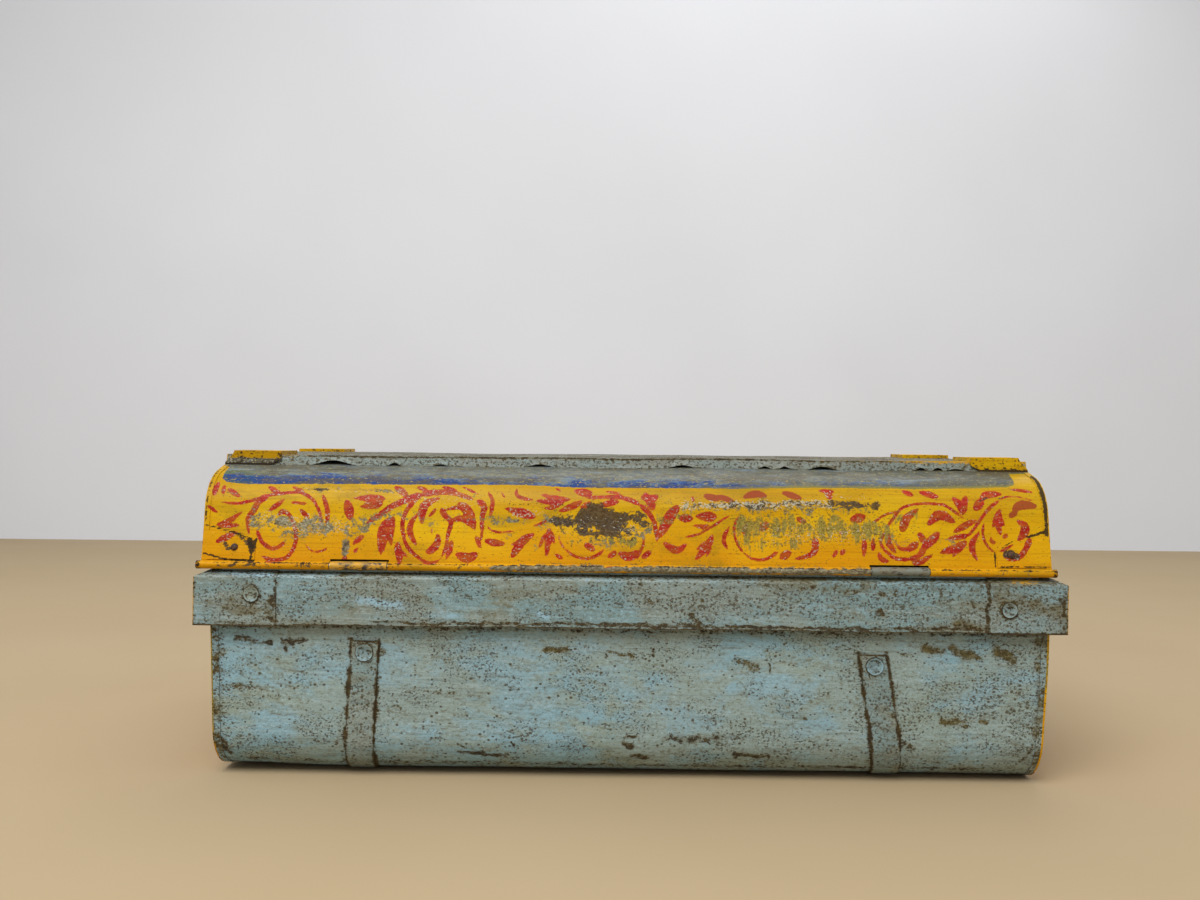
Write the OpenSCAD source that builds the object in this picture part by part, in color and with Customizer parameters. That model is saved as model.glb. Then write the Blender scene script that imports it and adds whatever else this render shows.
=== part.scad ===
// Painted sheet-steel trunk: a U-wrapped body with a hollow rim band, and a lid that turns on
// its own edge wire. X runs along the length, -Y is the hinge side, +Z is up, and the trunk
// stands with its two straps on Z = 0. Left is -X and right is +X.

/* [Body] */
// Width over the rim band
rim_w = 780; // [640:1:900]
// Depth over the rim band
rim_d = 430; // [360:1:520]
// Height of the rim band's lower edge above the floor
rim_z = 139; // [130:1:220]
// Height of the rim band's upright face
rim_h = 44; // [42:1:60]
// How far the rim band stands out from the body
rim_out = 11; // [10:0.5:14]
// Rise of the rim band's sloped top
rim_rise = 5; // [3:0.5:8]
// Length of the left rim end's legs along the front and back
rim_leg_left = 74; // [60:1:110]
// Length of the right rim end's legs along the front and back
rim_leg_right = 70; // [60:1:110]
// How far the rim strips run on under the legs
rim_lap = 30; // [26:1:50]
// Thickness of the sheet steel
sheet = 0.8; // [0.6:0.1:1]
// Radius of the two long lower edges
edge_r = 40; // [25:1:60]
// How far each end leans in between the rim and the floor
end_lean = 4.5; // [0:0.5:8]
// Width of the folded seam round each end
seam_w = 7; // [5:0.5:10]
// How far the front and back lips stop short of the ends
lip_back = 11; // [9:0.5:30]

/* [Straps] */
// Width of a strap
strap_w = 25; // [22:0.5:35]
// Thickness of a strap
strap_t = 1.5; // [1:0.1:2]
// Distance of the left strap's top from the left end of the rim band
strap_left_top_in = 152; // [90:1:240]
// Distance of the left strap's foot from the left end of the rim band
strap_left_foot_in = 146; // [90:1:240]
// Height of the left strap's top
strap_left_h = 125; // [90:1:128]
// Distance of the right strap's top from the right end of the rim band
strap_right_top_in = 170; // [90:1:240]
// Distance of the right strap's foot from the right end of the rim band
strap_right_foot_in = 153; // [90:1:240]
// Height of the right strap's top
strap_right_h = 118; // [90:1:128]
// Distance from a strap's top to its rivet
strap_rivet_drop = 10.5; // [9.5:0.5:15]

/* [Lid] */
// How far the lid's faces sit inside the rim band's
lid_inset = 8; // [7.5:0.5:10]
// How far the lid sits to the left of the body
lid_shift = 4; // [0:0.5:4]
// Diameter of the edge wires, the back one being the hinge pin
wire_d = 5; // [4:0.5:6]
// Looseness of the sheet rolled round a wire
roll_slack = 0.4; // [0.1:0.1:0.8]
// Gap between the rim band and the lid's rolled edge
lid_gap = 1.3; // [0.8:0.1:3]
// How far a rolled edge runs on past the lid's end
roll_over = 3; // [1:0.5:5]
// Inward lean of the lid's front and back
skirt_lean = 11; // [4:0.5:16]
// Radius of the lid's shoulders
shoulder_r = 40; // [20:1:50]
// Slope of the lid beside the raised panel
shoulder_slope = 15; // [8:1:20]
// Height of the raised panel's foot above the edge wire
shoulder_h = 89; // [70:1:120]
// Distance from the lid's face to the raised panel
step_in = 62; // [56:1:90]
// Height of the raised panel's sides
step_h = 9.5; // [6:0.5:16]
// Inward lean of the raised panel's sides
step_lean = 2.5; // [0:0.5:4]
// How far the lid's front and back sheets run under the raised panel
panel_lap = 10; // [6:1:20]
// Height of the turned-out hem along the lid's ends
hem_h = 7; // [4:0.5:12]

/* [Lid corners] */
// Side of a corner cap
cap_w = 53; // [35:1:70]
// How far a corner cap stands off the raised panel
cap_rise = 3; // [1:0.1:4]
// How far a corner cap comes down over the lid's end
cap_drop = 14; // [6:1:20]
// Length of the tabs that wrap the lid's lower corners
tab_w = 48; // [35:1:70]
// Height of a tab at the corner
tab_h = 27; // [20:1:32]
// Height of a tab at its tip
tab_tip = 13; // [6:1:18]

/* [Hinges] */
// Distance of the left hinge from the left end of the rim band
hinge_left_in = 147; // [100:1:240]
// Distance of the right hinge from the right end of the rim band
hinge_right_in = 148; // [100:1:240]
// Length of a hinge's knuckle
hinge_w = 51; // [36:1:70]
// Thickness of a hinge leaf
leaf_t = 1.2; // [1:0.1:1.5]
// How far a leaf reaches down inside the back
leaf_h = 46; // [30:1:60]
// Play between a knuckle and its pin
fit = 0.05; // [0.02:0.01:0.1]

/* [Hasps] */
// Distance of each hasp from the end of the rim band
hasp_in = 165; // [110:1:270]
// Width of a hasp
hasp_w = 28; // [26:1:36]
// Thickness of the hasp and of its hinge plate
hasp_t = 1.5; // [1.2:0.1:2]
// Length of a hasp from its pin to its end
hasp_l = 50; // [48:1:56]
// Height of the hasp's pin above the rim band's face
hasp_up = 7; // [6:0.5:9]
// Diameter of the hasp's pin
hasp_pin_d = 4; // [3:0.5:4.5]
// Angle from the closed hasp to the hasp thrown back on the lid
hasp_back = 194; // [180:1:194]
// Height of the hasp's hinge plate on the lid
plate_h = 48; // [42:1:56]
// Width of the slot in a hasp
slot_w = 9; // [8:0.5:12]
// Length of the slot in a hasp
slot_l = 27; // [26.5:0.5:30]
// Wire of a staple
staple_d = 5; // [4:0.5:6]
// Radius to the middle of a staple's wire
staple_r = 7.5; // [7:0.5:8.5]
// Straight part of a staple outside its plate
staple_leg = 4; // [3:0.5:6]
// Depth of a staple's middle below the rim band's top edge
staple_drop = 23; // [22.5:0.5:24]
// Width of a staple plate
staple_plate_w = 46; // [44:1:60]
// Height of a staple plate
staple_plate_h = 36; // [30:1:38]

/* [Handles] */
// Length of a handle between its arms
handle_w = 136; // [110:1:180]
// Drop of a handle from its pivot to its grip
handle_drop = 44; // [30:1:60]
// Diameter of a handle's rod
handle_d = 8; // [6:0.5:9]
// Height of the handles' pivots
handle_z = 112; // [105:1:118]
// Distance from the end panel to the handles' pivots
handle_out = 9.5; // [8.5:0.5:12]
// Width of a handle clip
clip_w = 14; // [10:1:20]
// Height of a handle clip's plate
clip_h = 36; // [32:1:44]
// Thickness of a handle clip's strap
clip_t = 2; // [1.5:0.1:2.5]

/* [Rivets] */
// Head of a rim rivet
rim_rivet_d = 15; // [10:0.5:18]
// Distance of the rim rivets from the ends of the rim
rim_rivet_in = 52; // [50:1:56]
// Height of the left rim rivets above the rim band's lower edge
rim_rivet_left = 29; // [12:1:32]
// Height of the right rim rivets above the rim band's lower edge
rim_rivet_right = 22; // [12:1:32]
// Head of a strap rivet
strap_rivet_d = 17; // [10:0.5:18]
// Head of a small rivet
small_rivet_d = 6.5; // [5:0.5:7]

/* [Hidden] */
$fn = 48;

// Body
half_w = rim_w / 2 - rim_out;
half_d = rim_d / 2 - rim_out;
rim_top = rim_z + rim_h;
seam_z = rim_top + rim_rise;
lean_angle = atan(end_lean / seam_z);
reach = rim_w + rim_d;

// Straps
strap_left_top = strap_left_top_in - rim_w / 2;
strap_left_foot = strap_left_foot_in - rim_w / 2;
strap_right_top = rim_w / 2 - strap_right_top_in;
strap_right_foot = rim_w / 2 - strap_right_foot_in;

// Lid
wire_r = wire_d / 2;
roll_r = wire_r + sheet + roll_slack;
wire_z = seam_z + lid_gap + roll_r;
lid_face = rim_d / 2 - lid_inset;
wire_y = lid_face + wire_r;
lid_half = rim_w / 2 - lid_inset;
foot_z = wire_z + shoulder_h;
top_z = foot_z + step_h;
lid_low = wire_z - roll_r;
arc_steps = 18;
flange_w = 5;
flange_stop = 5;
hem_in = 4;

// Tabs and their nails
tab_gap = 0.8;
tab_z = wire_z + roll_r + tab_gap;
nail_in_left = 29;
nail_in_right = 36;
nail_up = 11;

// The raised panel's corner points on the back half
panel_foot = [step_in, foot_z];
panel_edge = [step_in + step_lean, top_z];
panel_foot_in = slope_point(0, step_in + 1.2 * sheet);
panel_edge_in = [step_in + step_lean + sheet, top_z - sheet];

// Hinges
knuckle_r = wire_r + fit;
lip_gap = 0.25;
lip_z = wire_z + knuckle_r - lip_gap;
notch_play = 1;
notch_over = 1.75;
notch_top = wire_z + knuckle_r + leaf_t + notch_over;
hinge_left = hinge_left_in - rim_w / 2;
hinge_right = rim_w / 2 - hinge_right_in;
leaf_rivet_in = 10;
leaf_rivet_up = 12;

// Hasps and staples
plate_t = 1.2;
strip_face = rim_d / 2 - sheet;
flap_gap = 0.5;
flap_y = strip_face + plate_t + flap_gap;
barrel_bore = hasp_pin_d / 2 + fit;
barrel_r = barrel_bore + hasp_t;
hasp_y = flap_y + barrel_r;
hasp_z = rim_top + hasp_up;
barrel_gap = 0.3;
middle_w = hasp_w / 3;
hasp_x = rim_w / 2 - hasp_in;
staple_z = rim_top - staple_drop;
crank_foot = 1;
crank_up = 13;
crank_rise = 9;
plate_rivet_in = 7;
plate_rivet_down = 8;
pin_head_t = 1;
pin_head_r = hasp_pin_d / 2 + 0.9;

// The slot reaches further below the staple than above it, because the hasp swings out and up
slot_low = 1;

// Handles
rod_r = handle_d / 2;
eye_r = rod_r + fit;
elbow_r = 8;
corner_r = 14;
arm_y = handle_w / 2;
clip_gap = 1;
stub_over = 2;
clip_y = arm_y - elbow_r - clip_gap - clip_w / 2;
stub_end = clip_y - clip_w / 2 - stub_over;
pivot_x = end_x(handle_z) + handle_out * cos(lean_angle);
pivot_z = handle_z - handle_out * sin(lean_angle);

// Rivets
shank_r = 2;
head_t = 1.4;
head_slope = 0.5;
dish_rim = 1.6;
dish_t = 0.7;
tail_r = 3.2;
tail_t = 1;
rivet_edge = 4.5;

// Moves the trunk so that its outermost front and back points lie equally far from Y = 0
front_reach = strip_face + plate_t + staple_leg + staple_r + staple_d / 2;
back_reach = rim_d / 2 + head_t;
centre_y = (back_reach - front_reach) / 2;

// Half width of the body at height z
function end_x(z) = half_w - end_lean * (1 - z / seam_z);

// A point at height z on the lid's skirt, moved outwards by e: distance from the lid's face, and z
function skirt_point(e, z) =
    let (t = (z - wire_z - e * sin(skirt_lean)) / cos(skirt_lean))
    [-e * cos(skirt_lean) + t * sin(skirt_lean), wire_z + e * sin(skirt_lean) + t * cos(skirt_lean)];

// A point on the shoulder's slope at distance d from the lid's face, moved outwards by e
function slope_point(e, d) =
    let (t = (d - step_in + e * sin(shoulder_slope)) / cos(shoulder_slope))
    [d, foot_z + e * cos(shoulder_slope) + t * sin(shoulder_slope)];

// The middle of the shoulder's arc, which touches the skirt and the slope
shoulder_mid =
    let (
        a = wire_z * sin(skirt_lean) - shoulder_r,
        b = foot_z * cos(shoulder_slope) - step_in * sin(shoulder_slope) - shoulder_r,
        det = -cos(skirt_lean + shoulder_slope)
    )
    [(a * cos(shoulder_slope) - b * sin(skirt_lean)) / det,
        (-cos(skirt_lean) * b + sin(shoulder_slope) * a) / det];

// The lid's side from height z on the skirt, round the shoulder, to distance d on the slope
function side_line(e, z, d) = concat(
    [skirt_point(e, z)],
    [for (i = [0 : arc_steps])
        let (w = 180 - skirt_lean - (90 - skirt_lean - shoulder_slope) * i / arc_steps)
        shoulder_mid + (shoulder_r + e) * [cos(w), sin(w)]],
    [slope_point(e, d)]);

function reversed(list) = [for (i = [len(list) - 1 : -1 : 0]) list[i]];

// From distance behind the lid's face to the trunk's own Y, on the back
function on_back(list) = [for (p = list) [p[0] - lid_face, p[1]]];

function across(list) = [for (p = list) [-p[0], p[1]]];

// A strip of thickness t along a path, on the path's left side
function ribbon(path, t) =
    let (
        last = len(path) - 1,
        ways = [for (i = [0 : last - 1]) (path[i + 1] - path[i]) / norm(path[i + 1] - path[i])],
        sides = [for (w = ways) [-w[1], w[0]]],
        moved = [for (i = [0 : last])
            let (a = sides[max(i - 1, 0)], b = sides[min(i, last - 1)])
            path[i] + t * (a + b) / (1 + a * b)]
    )
    concat(path, reversed(moved));

module along_x(from, to) translate([from, 0, 0]) rotate([90, 0, 90]) linear_extrude(to - from) children();

module along_y(from, to) translate([0, to, 0]) rotate([90, 0, 0]) linear_extrude(to - from) children();

module both_ends() for (side = [0, 1]) mirror([side, 0, 0]) children();

module front() mirror([0, 1, 0]) children();

module on_lid() translate([-lid_shift, 0, 0]) children();

// The body's cross-section, moved outwards by e, from the floor to the lip
module tub(e) {
    translate([-half_d - e, strap_t + edge_r]) square([2 * (half_d + e), lip_z - strap_t - edge_r]);
    translate([edge_r - half_d, strap_t - e]) square([2 * (half_d - edge_r), edge_r + e + 1]);
    for (side = [-1, 1])
        translate([side * (half_d - edge_r), strap_t + edge_r]) circle(edge_r + e, $fn = 96);
}

// What lies between two planes that lean with the right end, at distances a and b inside it
module end_slab(a, b, low, high) along_y(-reach, reach)
    polygon([[end_x(low) - b, low], [end_x(low) - a, low], [end_x(high) - a, high],
        [end_x(high) - b, high]]);

// What lies between the two ends, at distance a inside them
module between_ends(a, low, high) along_y(-reach, reach)
    polygon([[a - end_x(low), low], [end_x(low) - a, low], [end_x(high) - a, high],
        [a - end_x(high), high]]);

// A flat rivet whose head stands on z = 0, through a stack of sheets
module rivet(head_d, stack) rotate_extrude()
    polygon([[0, -stack - tail_t], [tail_r, -stack - tail_t], [tail_r, -stack], [shank_r, -stack],
        [shank_r, 0], [head_d / 2, 0], [head_d / 2 - head_slope, head_t], [0, head_t]]);

// The same with a dished middle inside a raised ring
module dished_rivet(head_d, stack) difference() {
    rivet(head_d, stack);
    translate([0, 0, head_t - dish_t])
        cylinder(r1 = head_d / 2 - dish_rim - dish_t, r2 = head_d / 2 - dish_rim + dish_t, h = 2 * dish_t);
}

module shank_hole(stack) translate([0, 0, -stack - 0.5]) cylinder(r = shank_r, h = stack + 1);

// Turns a piece that points up so that it points out of the back
module out_of_back(x, y, z) translate([x, y, z]) rotate([90, 0, 0]) children();

module at_rim_rivets() for (side = [0, 1]) mirror([0, side, 0]) {
    out_of_back(rim_rivet_in - rim_w / 2, -rim_d / 2, rim_z + rim_rivet_left) children();
    out_of_back(rim_w / 2 - rim_rivet_in, -rim_d / 2, rim_z + rim_rivet_right) children();
}

// Place of a strap's middle at height z
function strap_x(top, foot, h, z) = foot + (top - foot) * z / h;

module at_strap_rivet(top, foot, h) for (side = [0, 1]) mirror([0, side, 0])
    out_of_back(strap_x(top, foot, h, h - strap_rivet_drop), -half_d - strap_t, h - strap_rivet_drop)
        children();

module at_strap_rivets() {
    at_strap_rivet(strap_left_top, strap_left_foot, strap_left_h) children();
    at_strap_rivet(strap_right_top, strap_right_foot, strap_right_h) children();
}

// The hinge rivets' heads lie inside, on the leaves
module at_hinge_rivets(x) for (side = [-1, 1])
    translate([x + side * (hinge_w / 2 - leaf_rivet_in), leaf_t + sheet - half_d,
        wire_z - leaf_h + leaf_rivet_up]) rotate([-90, 0, 0]) children();

module body_wrap() color("lightsteelblue") difference() {
    intersection() {
        along_x(-reach, reach) difference() {
            tub(0);
            tub(-sheet);
            translate([sheet - half_d, seam_z]) square([2 * (half_d - sheet), reach]);
        }
        union() {
            between_ends(sheet, 0, seam_z);
            translate([lip_back - half_w, -reach, seam_z - 1])
                cube([2 * (half_w - lip_back), 2 * reach, lip_z - seam_z + 1]);
        }
    }
    at_strap_rivets() shank_hole(strap_t + sheet);
    for (x = [hinge_left, hinge_right]) at_hinge_rivets(x) shank_hole(leaf_t + sheet);
}

// The right end panel, folded round the body sheet's edges up to the rim band
module body_end() difference() {
    union() {
        intersection() {
            along_x(0, reach) tub(sheet);
            end_slab(0, seam_w, 0, rim_z);
        }
        intersection() {
            along_x(0, reach) tub(0);
            end_slab(0, seam_w, rim_z - 1, seam_z);
        }
    }
    intersection() {
        along_x(0, reach) tub(0);
        end_slab(sheet, seam_w + 1, 0, seam_z + 1);
    }
    at_clip_rivets() shank_hole(clip_t + sheet);
}

module body_end_right() color("gold") body_end();

module body_end_left() color("gold") mirror([1, 0, 0]) body_end();

// The rim band's cross-section with half span a over its face and b at its seam, moved in by e
function rim_section(a, b, e) =
    let (
        w = atan(rim_rise / rim_out),
        shoulder = rim_top - e * (1 - sin(w)) / cos(w),
        crest = seam_z - e / cos(w)
    )
    [[e - a, rim_z + e], [e - a, shoulder], [-b, crest], [b, crest], [a - e, shoulder],
        [a - e, rim_z + e]];

module rim_block(e) intersection() {
    along_x(-reach, reach) polygon(rim_section(rim_d / 2, half_d, e));
    along_y(-reach, reach) polygon(rim_section(rim_w / 2, half_w, e));
}

// The hollow band round the body, from depth e to e + sheet
module rim_shell(e) difference() {
    rim_block(e);
    rim_block(e + sheet);
    intersection() {
        along_x(-reach, reach) tub(0);
        between_ends(0, 0, seam_z);
    }
}

// The right end of the band, with legs of the given length
module rim_end(leg) intersection() {
    rim_shell(0);
    translate([rim_w / 2 - leg, -reach, 0]) cube([leg + 1, 2 * reach, seam_z + 1]);
}

// The back of the band, between the ends and on under their legs
module rim_strip() intersection() {
    rim_shell(sheet);
    translate([rim_leg_left - rim_lap - rim_w / 2, -reach, 0])
        cube([rim_w - rim_leg_left - rim_leg_right + 2 * rim_lap, reach, seam_z + 1]);
}

module rim_strip_back() color("lightsteelblue") difference() {
    rim_strip();
    at_rim_rivets() shank_hole(2 * sheet);
}

module rim_strip_front() color("lightsteelblue") difference() {
    front() rim_strip();
    at_rim_rivets() shank_hole(2 * sheet);
    at_staple_plate_rivets() shank_hole(plate_t + sheet);
    both_ends() staple();
}

module rim_end_right() color("gold") difference() {
    rim_end(rim_leg_right);
    at_rim_rivets() shank_hole(2 * sheet);
}

module rim_end_left() color("gold") difference() {
    mirror([1, 0, 0]) rim_end(rim_leg_left);
    at_rim_rivets() shank_hole(2 * sheet);
}

module rim_rivets() color("lightsteelblue") at_rim_rivets() dished_rivet(rim_rivet_d, 2 * sheet);

module strap(top, foot, h) difference() {
    intersection() {
        along_x(-reach, reach) difference() {
            tub(strap_t);
            tub(0);
        }
        along_y(-reach, reach)
            polygon([[foot - strap_w / 2, -1], [foot + strap_w / 2, -1], [top + strap_w / 2, h],
                [top - strap_w / 2, h]]);
    }
    at_strap_rivet(top, foot, h) shank_hole(strap_t + sheet);
}

module strap_left() color("slategray") strap(strap_left_top, strap_left_foot, strap_left_h);

module strap_right() color("slategray") strap(strap_right_top, strap_right_foot, strap_right_h);

module strap_rivets() color("lightsteelblue") at_strap_rivets()
    dished_rivet(strap_rivet_d, strap_t + sheet);

// A leaf rolled round the hinge wire, over the lip and down inside the back
module hinge_leaf(x) color("dimgray") difference() {
    along_x(x - hinge_w / 2, x + hinge_w / 2) difference() {
        union() {
            translate([-wire_y, wire_z]) circle(knuckle_r + leaf_t);
            translate([-wire_y, wire_z + knuckle_r])
                square([wire_y - half_d + sheet + leaf_t, leaf_t]);
            translate([sheet - half_d, wire_z - leaf_h])
                square([leaf_t, leaf_h + knuckle_r + leaf_t]);
        }
        translate([-wire_y, wire_z]) circle(knuckle_r);
    }
    at_hinge_rivets(x) shank_hole(leaf_t + sheet);
}

module hinge_leaf_right() hinge_leaf(hinge_right);

module hinge_leaf_left() hinge_leaf(hinge_left);

module hinge_rivets() color("dimgray") for (x = [hinge_left, hinge_right])
    at_hinge_rivets(x) rivet(small_rivet_d, leaf_t + sheet);

module at_staple_plate_rivets() both_ends() for (side = [-1, 1])
    translate([hasp_x + side * (staple_plate_w / 2 - rivet_edge), strip_face + plate_t, staple_z])
        rotate([-90, 0, 0]) children();

// A wire loop in the YZ plane whose legs go through its plate and the rim band
module staple() translate([hasp_x, strip_face + plate_t + staple_leg, staple_z]) {
    rotate([0, -90, 0]) rotate_extrude(angle = 180) translate([staple_r, 0]) circle(d = staple_d);
    for (side = [-1, 1]) translate([0, 0, side * staple_r]) rotate([90, 0, 0])
        cylinder(d = staple_d, h = staple_leg + plate_t + sheet + tail_t);
}

module staple_plate() difference() {
    translate([hasp_x - staple_plate_w / 2, strip_face, staple_z - staple_plate_h / 2])
        cube([staple_plate_w, plate_t, staple_plate_h]);
    staple();
    at_staple_plate_rivets() shank_hole(plate_t + sheet);
}

module staple_plate_right() color("dimgray") staple_plate();

module staple_plate_left() color("dimgray") mirror([1, 0, 0]) staple_plate();

module staple_right() color("gray") staple();

module staple_left() color("gray") mirror([1, 0, 0]) staple();

module staple_plate_rivets() color("gray") at_staple_plate_rivets()
    rivet(small_rivet_d, plate_t + sheet);

// The right end panel's own frame: x out of the panel, with the origin at the handle's height
module on_end() translate([end_x(handle_z), 0, handle_z]) rotate([0, lean_angle, 0]) children();

module at_clip_rivets() on_end() for (y = [-clip_y, clip_y]) for (side = [-1, 1])
    translate([clip_t, y, side * (clip_h / 2 - rivet_edge)]) rotate([0, 90, 0]) children();

// Two straps bent round the handle's ends and riveted to the end panel
module handle_clips() difference() {
    on_end() for (y = [-clip_y, clip_y]) along_y(y - clip_w / 2, y + clip_w / 2) difference() {
        union() {
            translate([0, -clip_h / 2]) square([clip_t, clip_h]);
            translate([0, -eye_r - clip_t]) square([handle_out, 2 * (eye_r + clip_t)]);
            translate([handle_out, 0]) circle(eye_r + clip_t);
        }
        translate([handle_out, 0]) circle(eye_r);
    }
    at_clip_rivets() shank_hole(clip_t + sheet);
}

module handle_clips_right() color("dimgray") handle_clips();

module handle_clips_left() color("dimgray") mirror([1, 0, 0]) handle_clips();

module handle_clip_rivets() color("gray") both_ends() at_clip_rivets()
    rivet(small_rivet_d, clip_t + sheet);

// A rod bent to a bail: stub, elbow, arm, corner and half the grip, then the same mirrored
module handle() translate([pivot_x, 0, pivot_z]) for (side = [0, 1]) mirror([0, side, 0]) {
    translate([0, stub_end, 0]) rotate([-90, 0, 0])
        cylinder(r = rod_r, h = arm_y - elbow_r - stub_end);
    translate([0, arm_y - elbow_r, -elbow_r]) rotate([0, -90, 0])
        rotate_extrude(angle = 90) translate([elbow_r, 0]) circle(rod_r);
    translate([0, arm_y, corner_r - handle_drop])
        cylinder(r = rod_r, h = handle_drop - corner_r - elbow_r);
    translate([0, arm_y - corner_r, corner_r - handle_drop]) rotate([0, 90, 0])
        rotate_extrude(angle = 90) translate([corner_r, 0]) circle(rod_r);
    translate([0, 0, -handle_drop]) rotate([-90, 0, 0]) cylinder(r = rod_r, h = arm_y - corner_r);
}

module handle_right() color("dimgray") handle();

module handle_left() color("dimgray") mirror([1, 0, 0]) handle();

// The rolled edge's outside, at the back
module roll(grow) along_x(-lid_half - roll_over, lid_half + roll_over)
    translate([-wire_y, wire_z]) circle(roll_r + grow);

// Back or front of the lid: a rolled edge, a leaning skirt and a round shoulder
module lid_side_sheet() difference() {
    union() {
        along_x(sheet - lid_half, lid_half - sheet)
            polygon(on_back(concat(side_line(0, wire_z, step_in + panel_lap),
                reversed(side_line(-sheet, wire_z, step_in + panel_lap)))));
        roll(0);
    }
    along_x(-reach, reach) translate([-wire_y, wire_z]) circle(wire_r);
}

module lid_back_sheet() color("gold") difference() {
    on_lid() lid_side_sheet();
    for (x = [hinge_left, hinge_right]) translate([x - hinge_w / 2 - notch_play, -rim_d / 2, lid_low - 1])
        cube([hinge_w + 2 * notch_play, rim_out + sheet, notch_top - lid_low + 1]);
    on_lid() at_tab_nails() shank_hole(2 * sheet);
}

module lid_front_sheet() color("gold") difference() {
    on_lid() front() lid_side_sheet();
    on_lid() at_tab_nails() shank_hole(2 * sheet);
    at_hasp_plate_rivets() shank_hole(hasp_t + sheet);
}

module lid_top_panel() color("goldenrod") on_lid() along_x(sheet - lid_half, lid_half - sheet)
    polygon(concat(
        on_back([panel_foot, panel_edge]),
        across(on_back([panel_edge, panel_foot, panel_foot_in, panel_edge_in])),
        on_back([panel_edge_in, panel_foot_in])));

// The outline of the whole lid seen from its end
function lid_outline() =
    let (half = on_back(concat(side_line(0, lid_low, step_in), [panel_edge])))
    concat(half, across(reversed(half)));

module lid_solid(from, to) along_x(from, to) polygon(lid_outline());

// The strip just outside the lid's back sheet, which the end's seam and tabs follow
module outer_band(from, to) along_x(from, to)
    polygon(on_back(concat(side_line(sheet, lid_low, step_in - flange_stop),
        reversed(side_line(0, lid_low, step_in - flange_stop)))));

module at_tab_nail(x) for (side = [0, 1]) mirror([0, side, 0])
    translate([x, skirt_point(sheet, tab_z + nail_up)[0] - lid_face, tab_z + nail_up])
        rotate([90 - skirt_lean, 0, 0]) children();

module at_tab_nails() {
    at_tab_nail(nail_in_left - lid_half) children();
    at_tab_nail(lid_half - nail_in_right) children();
}

// Right end of the lid, with its hem, its folded seam and its two wrapped tabs
module lid_end(nail_in) difference() {
    union() {
        lid_solid(lid_half - sheet, lid_half);
        translate([lid_half, hem_in - lid_face, lid_low]) cube([sheet, 2 * (lid_face - hem_in), hem_h]);
        for (side = [0, 1]) mirror([0, side, 0]) {
            outer_band(lid_half - flange_w, lid_half);
            intersection() {
                outer_band(lid_half - tab_w, lid_half);
                along_y(-reach, reach) polygon([[lid_half, tab_z], [lid_half, tab_z + tab_h],
                    [lid_half - tab_w, tab_z + tab_tip], [lid_half - tab_w, tab_z]]);
            }
        }
    }
    roll(0);
    front() roll(0);
    translate([lid_half - tab_w, -reach, 0]) cube([tab_w + 1, reach - lid_face, tab_z]);
    front() translate([lid_half - tab_w, -reach, 0]) cube([tab_w + 1, reach - lid_face, tab_z]);
    at_tab_nail(lid_half - nail_in) shank_hole(2 * sheet);
}

module lid_end_right() color("orange") on_lid() lid_end(nail_in_right);

module lid_end_left() color("orange") on_lid() mirror([1, 0, 0]) lid_end(nail_in_left);

module lid_tab_nails() color("dimgray") on_lid() at_tab_nails() rivet(small_rivet_d, 2 * sheet);

module lid_wire() on_lid() along_x(0.5 - lid_half - roll_over, lid_half + roll_over - 0.5)
    translate([-wire_y, wire_z]) circle(wire_r);

module lid_wire_back() color("silver") lid_wire();

module lid_wire_front() color("silver") front() lid_wire();

// A dished cap over the raised panel's back right corner
module lid_cap() difference() {
    translate([lid_half - cap_w, step_in - 2 * sheet - lid_face, top_z - cap_drop])
        cube([cap_w + sheet, cap_w, cap_drop + cap_rise + sheet]);
    translate([lid_half - cap_w + sheet, step_in - sheet - lid_face, top_z - cap_drop - 1])
        cube([cap_w - sheet, cap_w - 2 * sheet, cap_drop + cap_rise + 1]);
    lid_solid(-lid_half, lid_half);
}

module lid_cap_back_right() color("khaki") on_lid() lid_cap();

module lid_cap_back_left() color("khaki") on_lid() mirror([1, 0, 0]) lid_cap();

module lid_cap_front_right() color("khaki") on_lid() front() lid_cap();

module lid_cap_front_left() color("khaki") on_lid() mirror([1, 0, 0]) front() lid_cap();

// A point on the front skirt at height z
function front_skirt(z) = [lid_face - skirt_point(0, z)[0], z];

module at_hasp_plate_rivets() both_ends() for (side = [-1, 1])
    translate([hasp_x + side * (hasp_w / 2 - plate_rivet_in),
        front_skirt(hasp_z + plate_h - plate_rivet_down)[0], hasp_z + plate_h - plate_rivet_down])
            rotate([skirt_lean - 90, 0, 0]) translate([0, 0, hasp_t]) children();

module hasp_pin_hole() along_x(-reach, reach) translate([hasp_y, hasp_z]) circle(barrel_bore);

// The hasp's hinge plate: down the lid's front, out over the rolled edge, and two knuckles
module hasp_plate() difference() {
    along_x(hasp_x - hasp_w / 2, hasp_x + hasp_w / 2) difference() {
        union() {
            polygon(ribbon([front_skirt(hasp_z + plate_h), front_skirt(hasp_z + crank_up + crank_rise),
                [flap_y, hasp_z + crank_up], [flap_y, hasp_z + crank_foot]], hasp_t));
            translate([hasp_y, hasp_z]) circle(barrel_r);
        }
        translate([hasp_y, hasp_z]) circle(barrel_bore);
    }
    translate([hasp_x - middle_w / 2 - barrel_gap, flap_y - 1, hasp_z - barrel_r - 1])
        cube([middle_w + 2 * barrel_gap, 2 * barrel_r + 2, 2 * barrel_r + 1.5]);
    at_hasp_plate_rivets() shank_hole(hasp_t + sheet);
}

module hasp_plate_right() color("dimgray") hasp_plate();

module hasp_plate_left() color("dimgray") mirror([1, 0, 0]) hasp_plate();

module hasp_plate_rivets() color("gray") at_hasp_plate_rivets() rivet(small_rivet_d, hasp_t + sheet);

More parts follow.
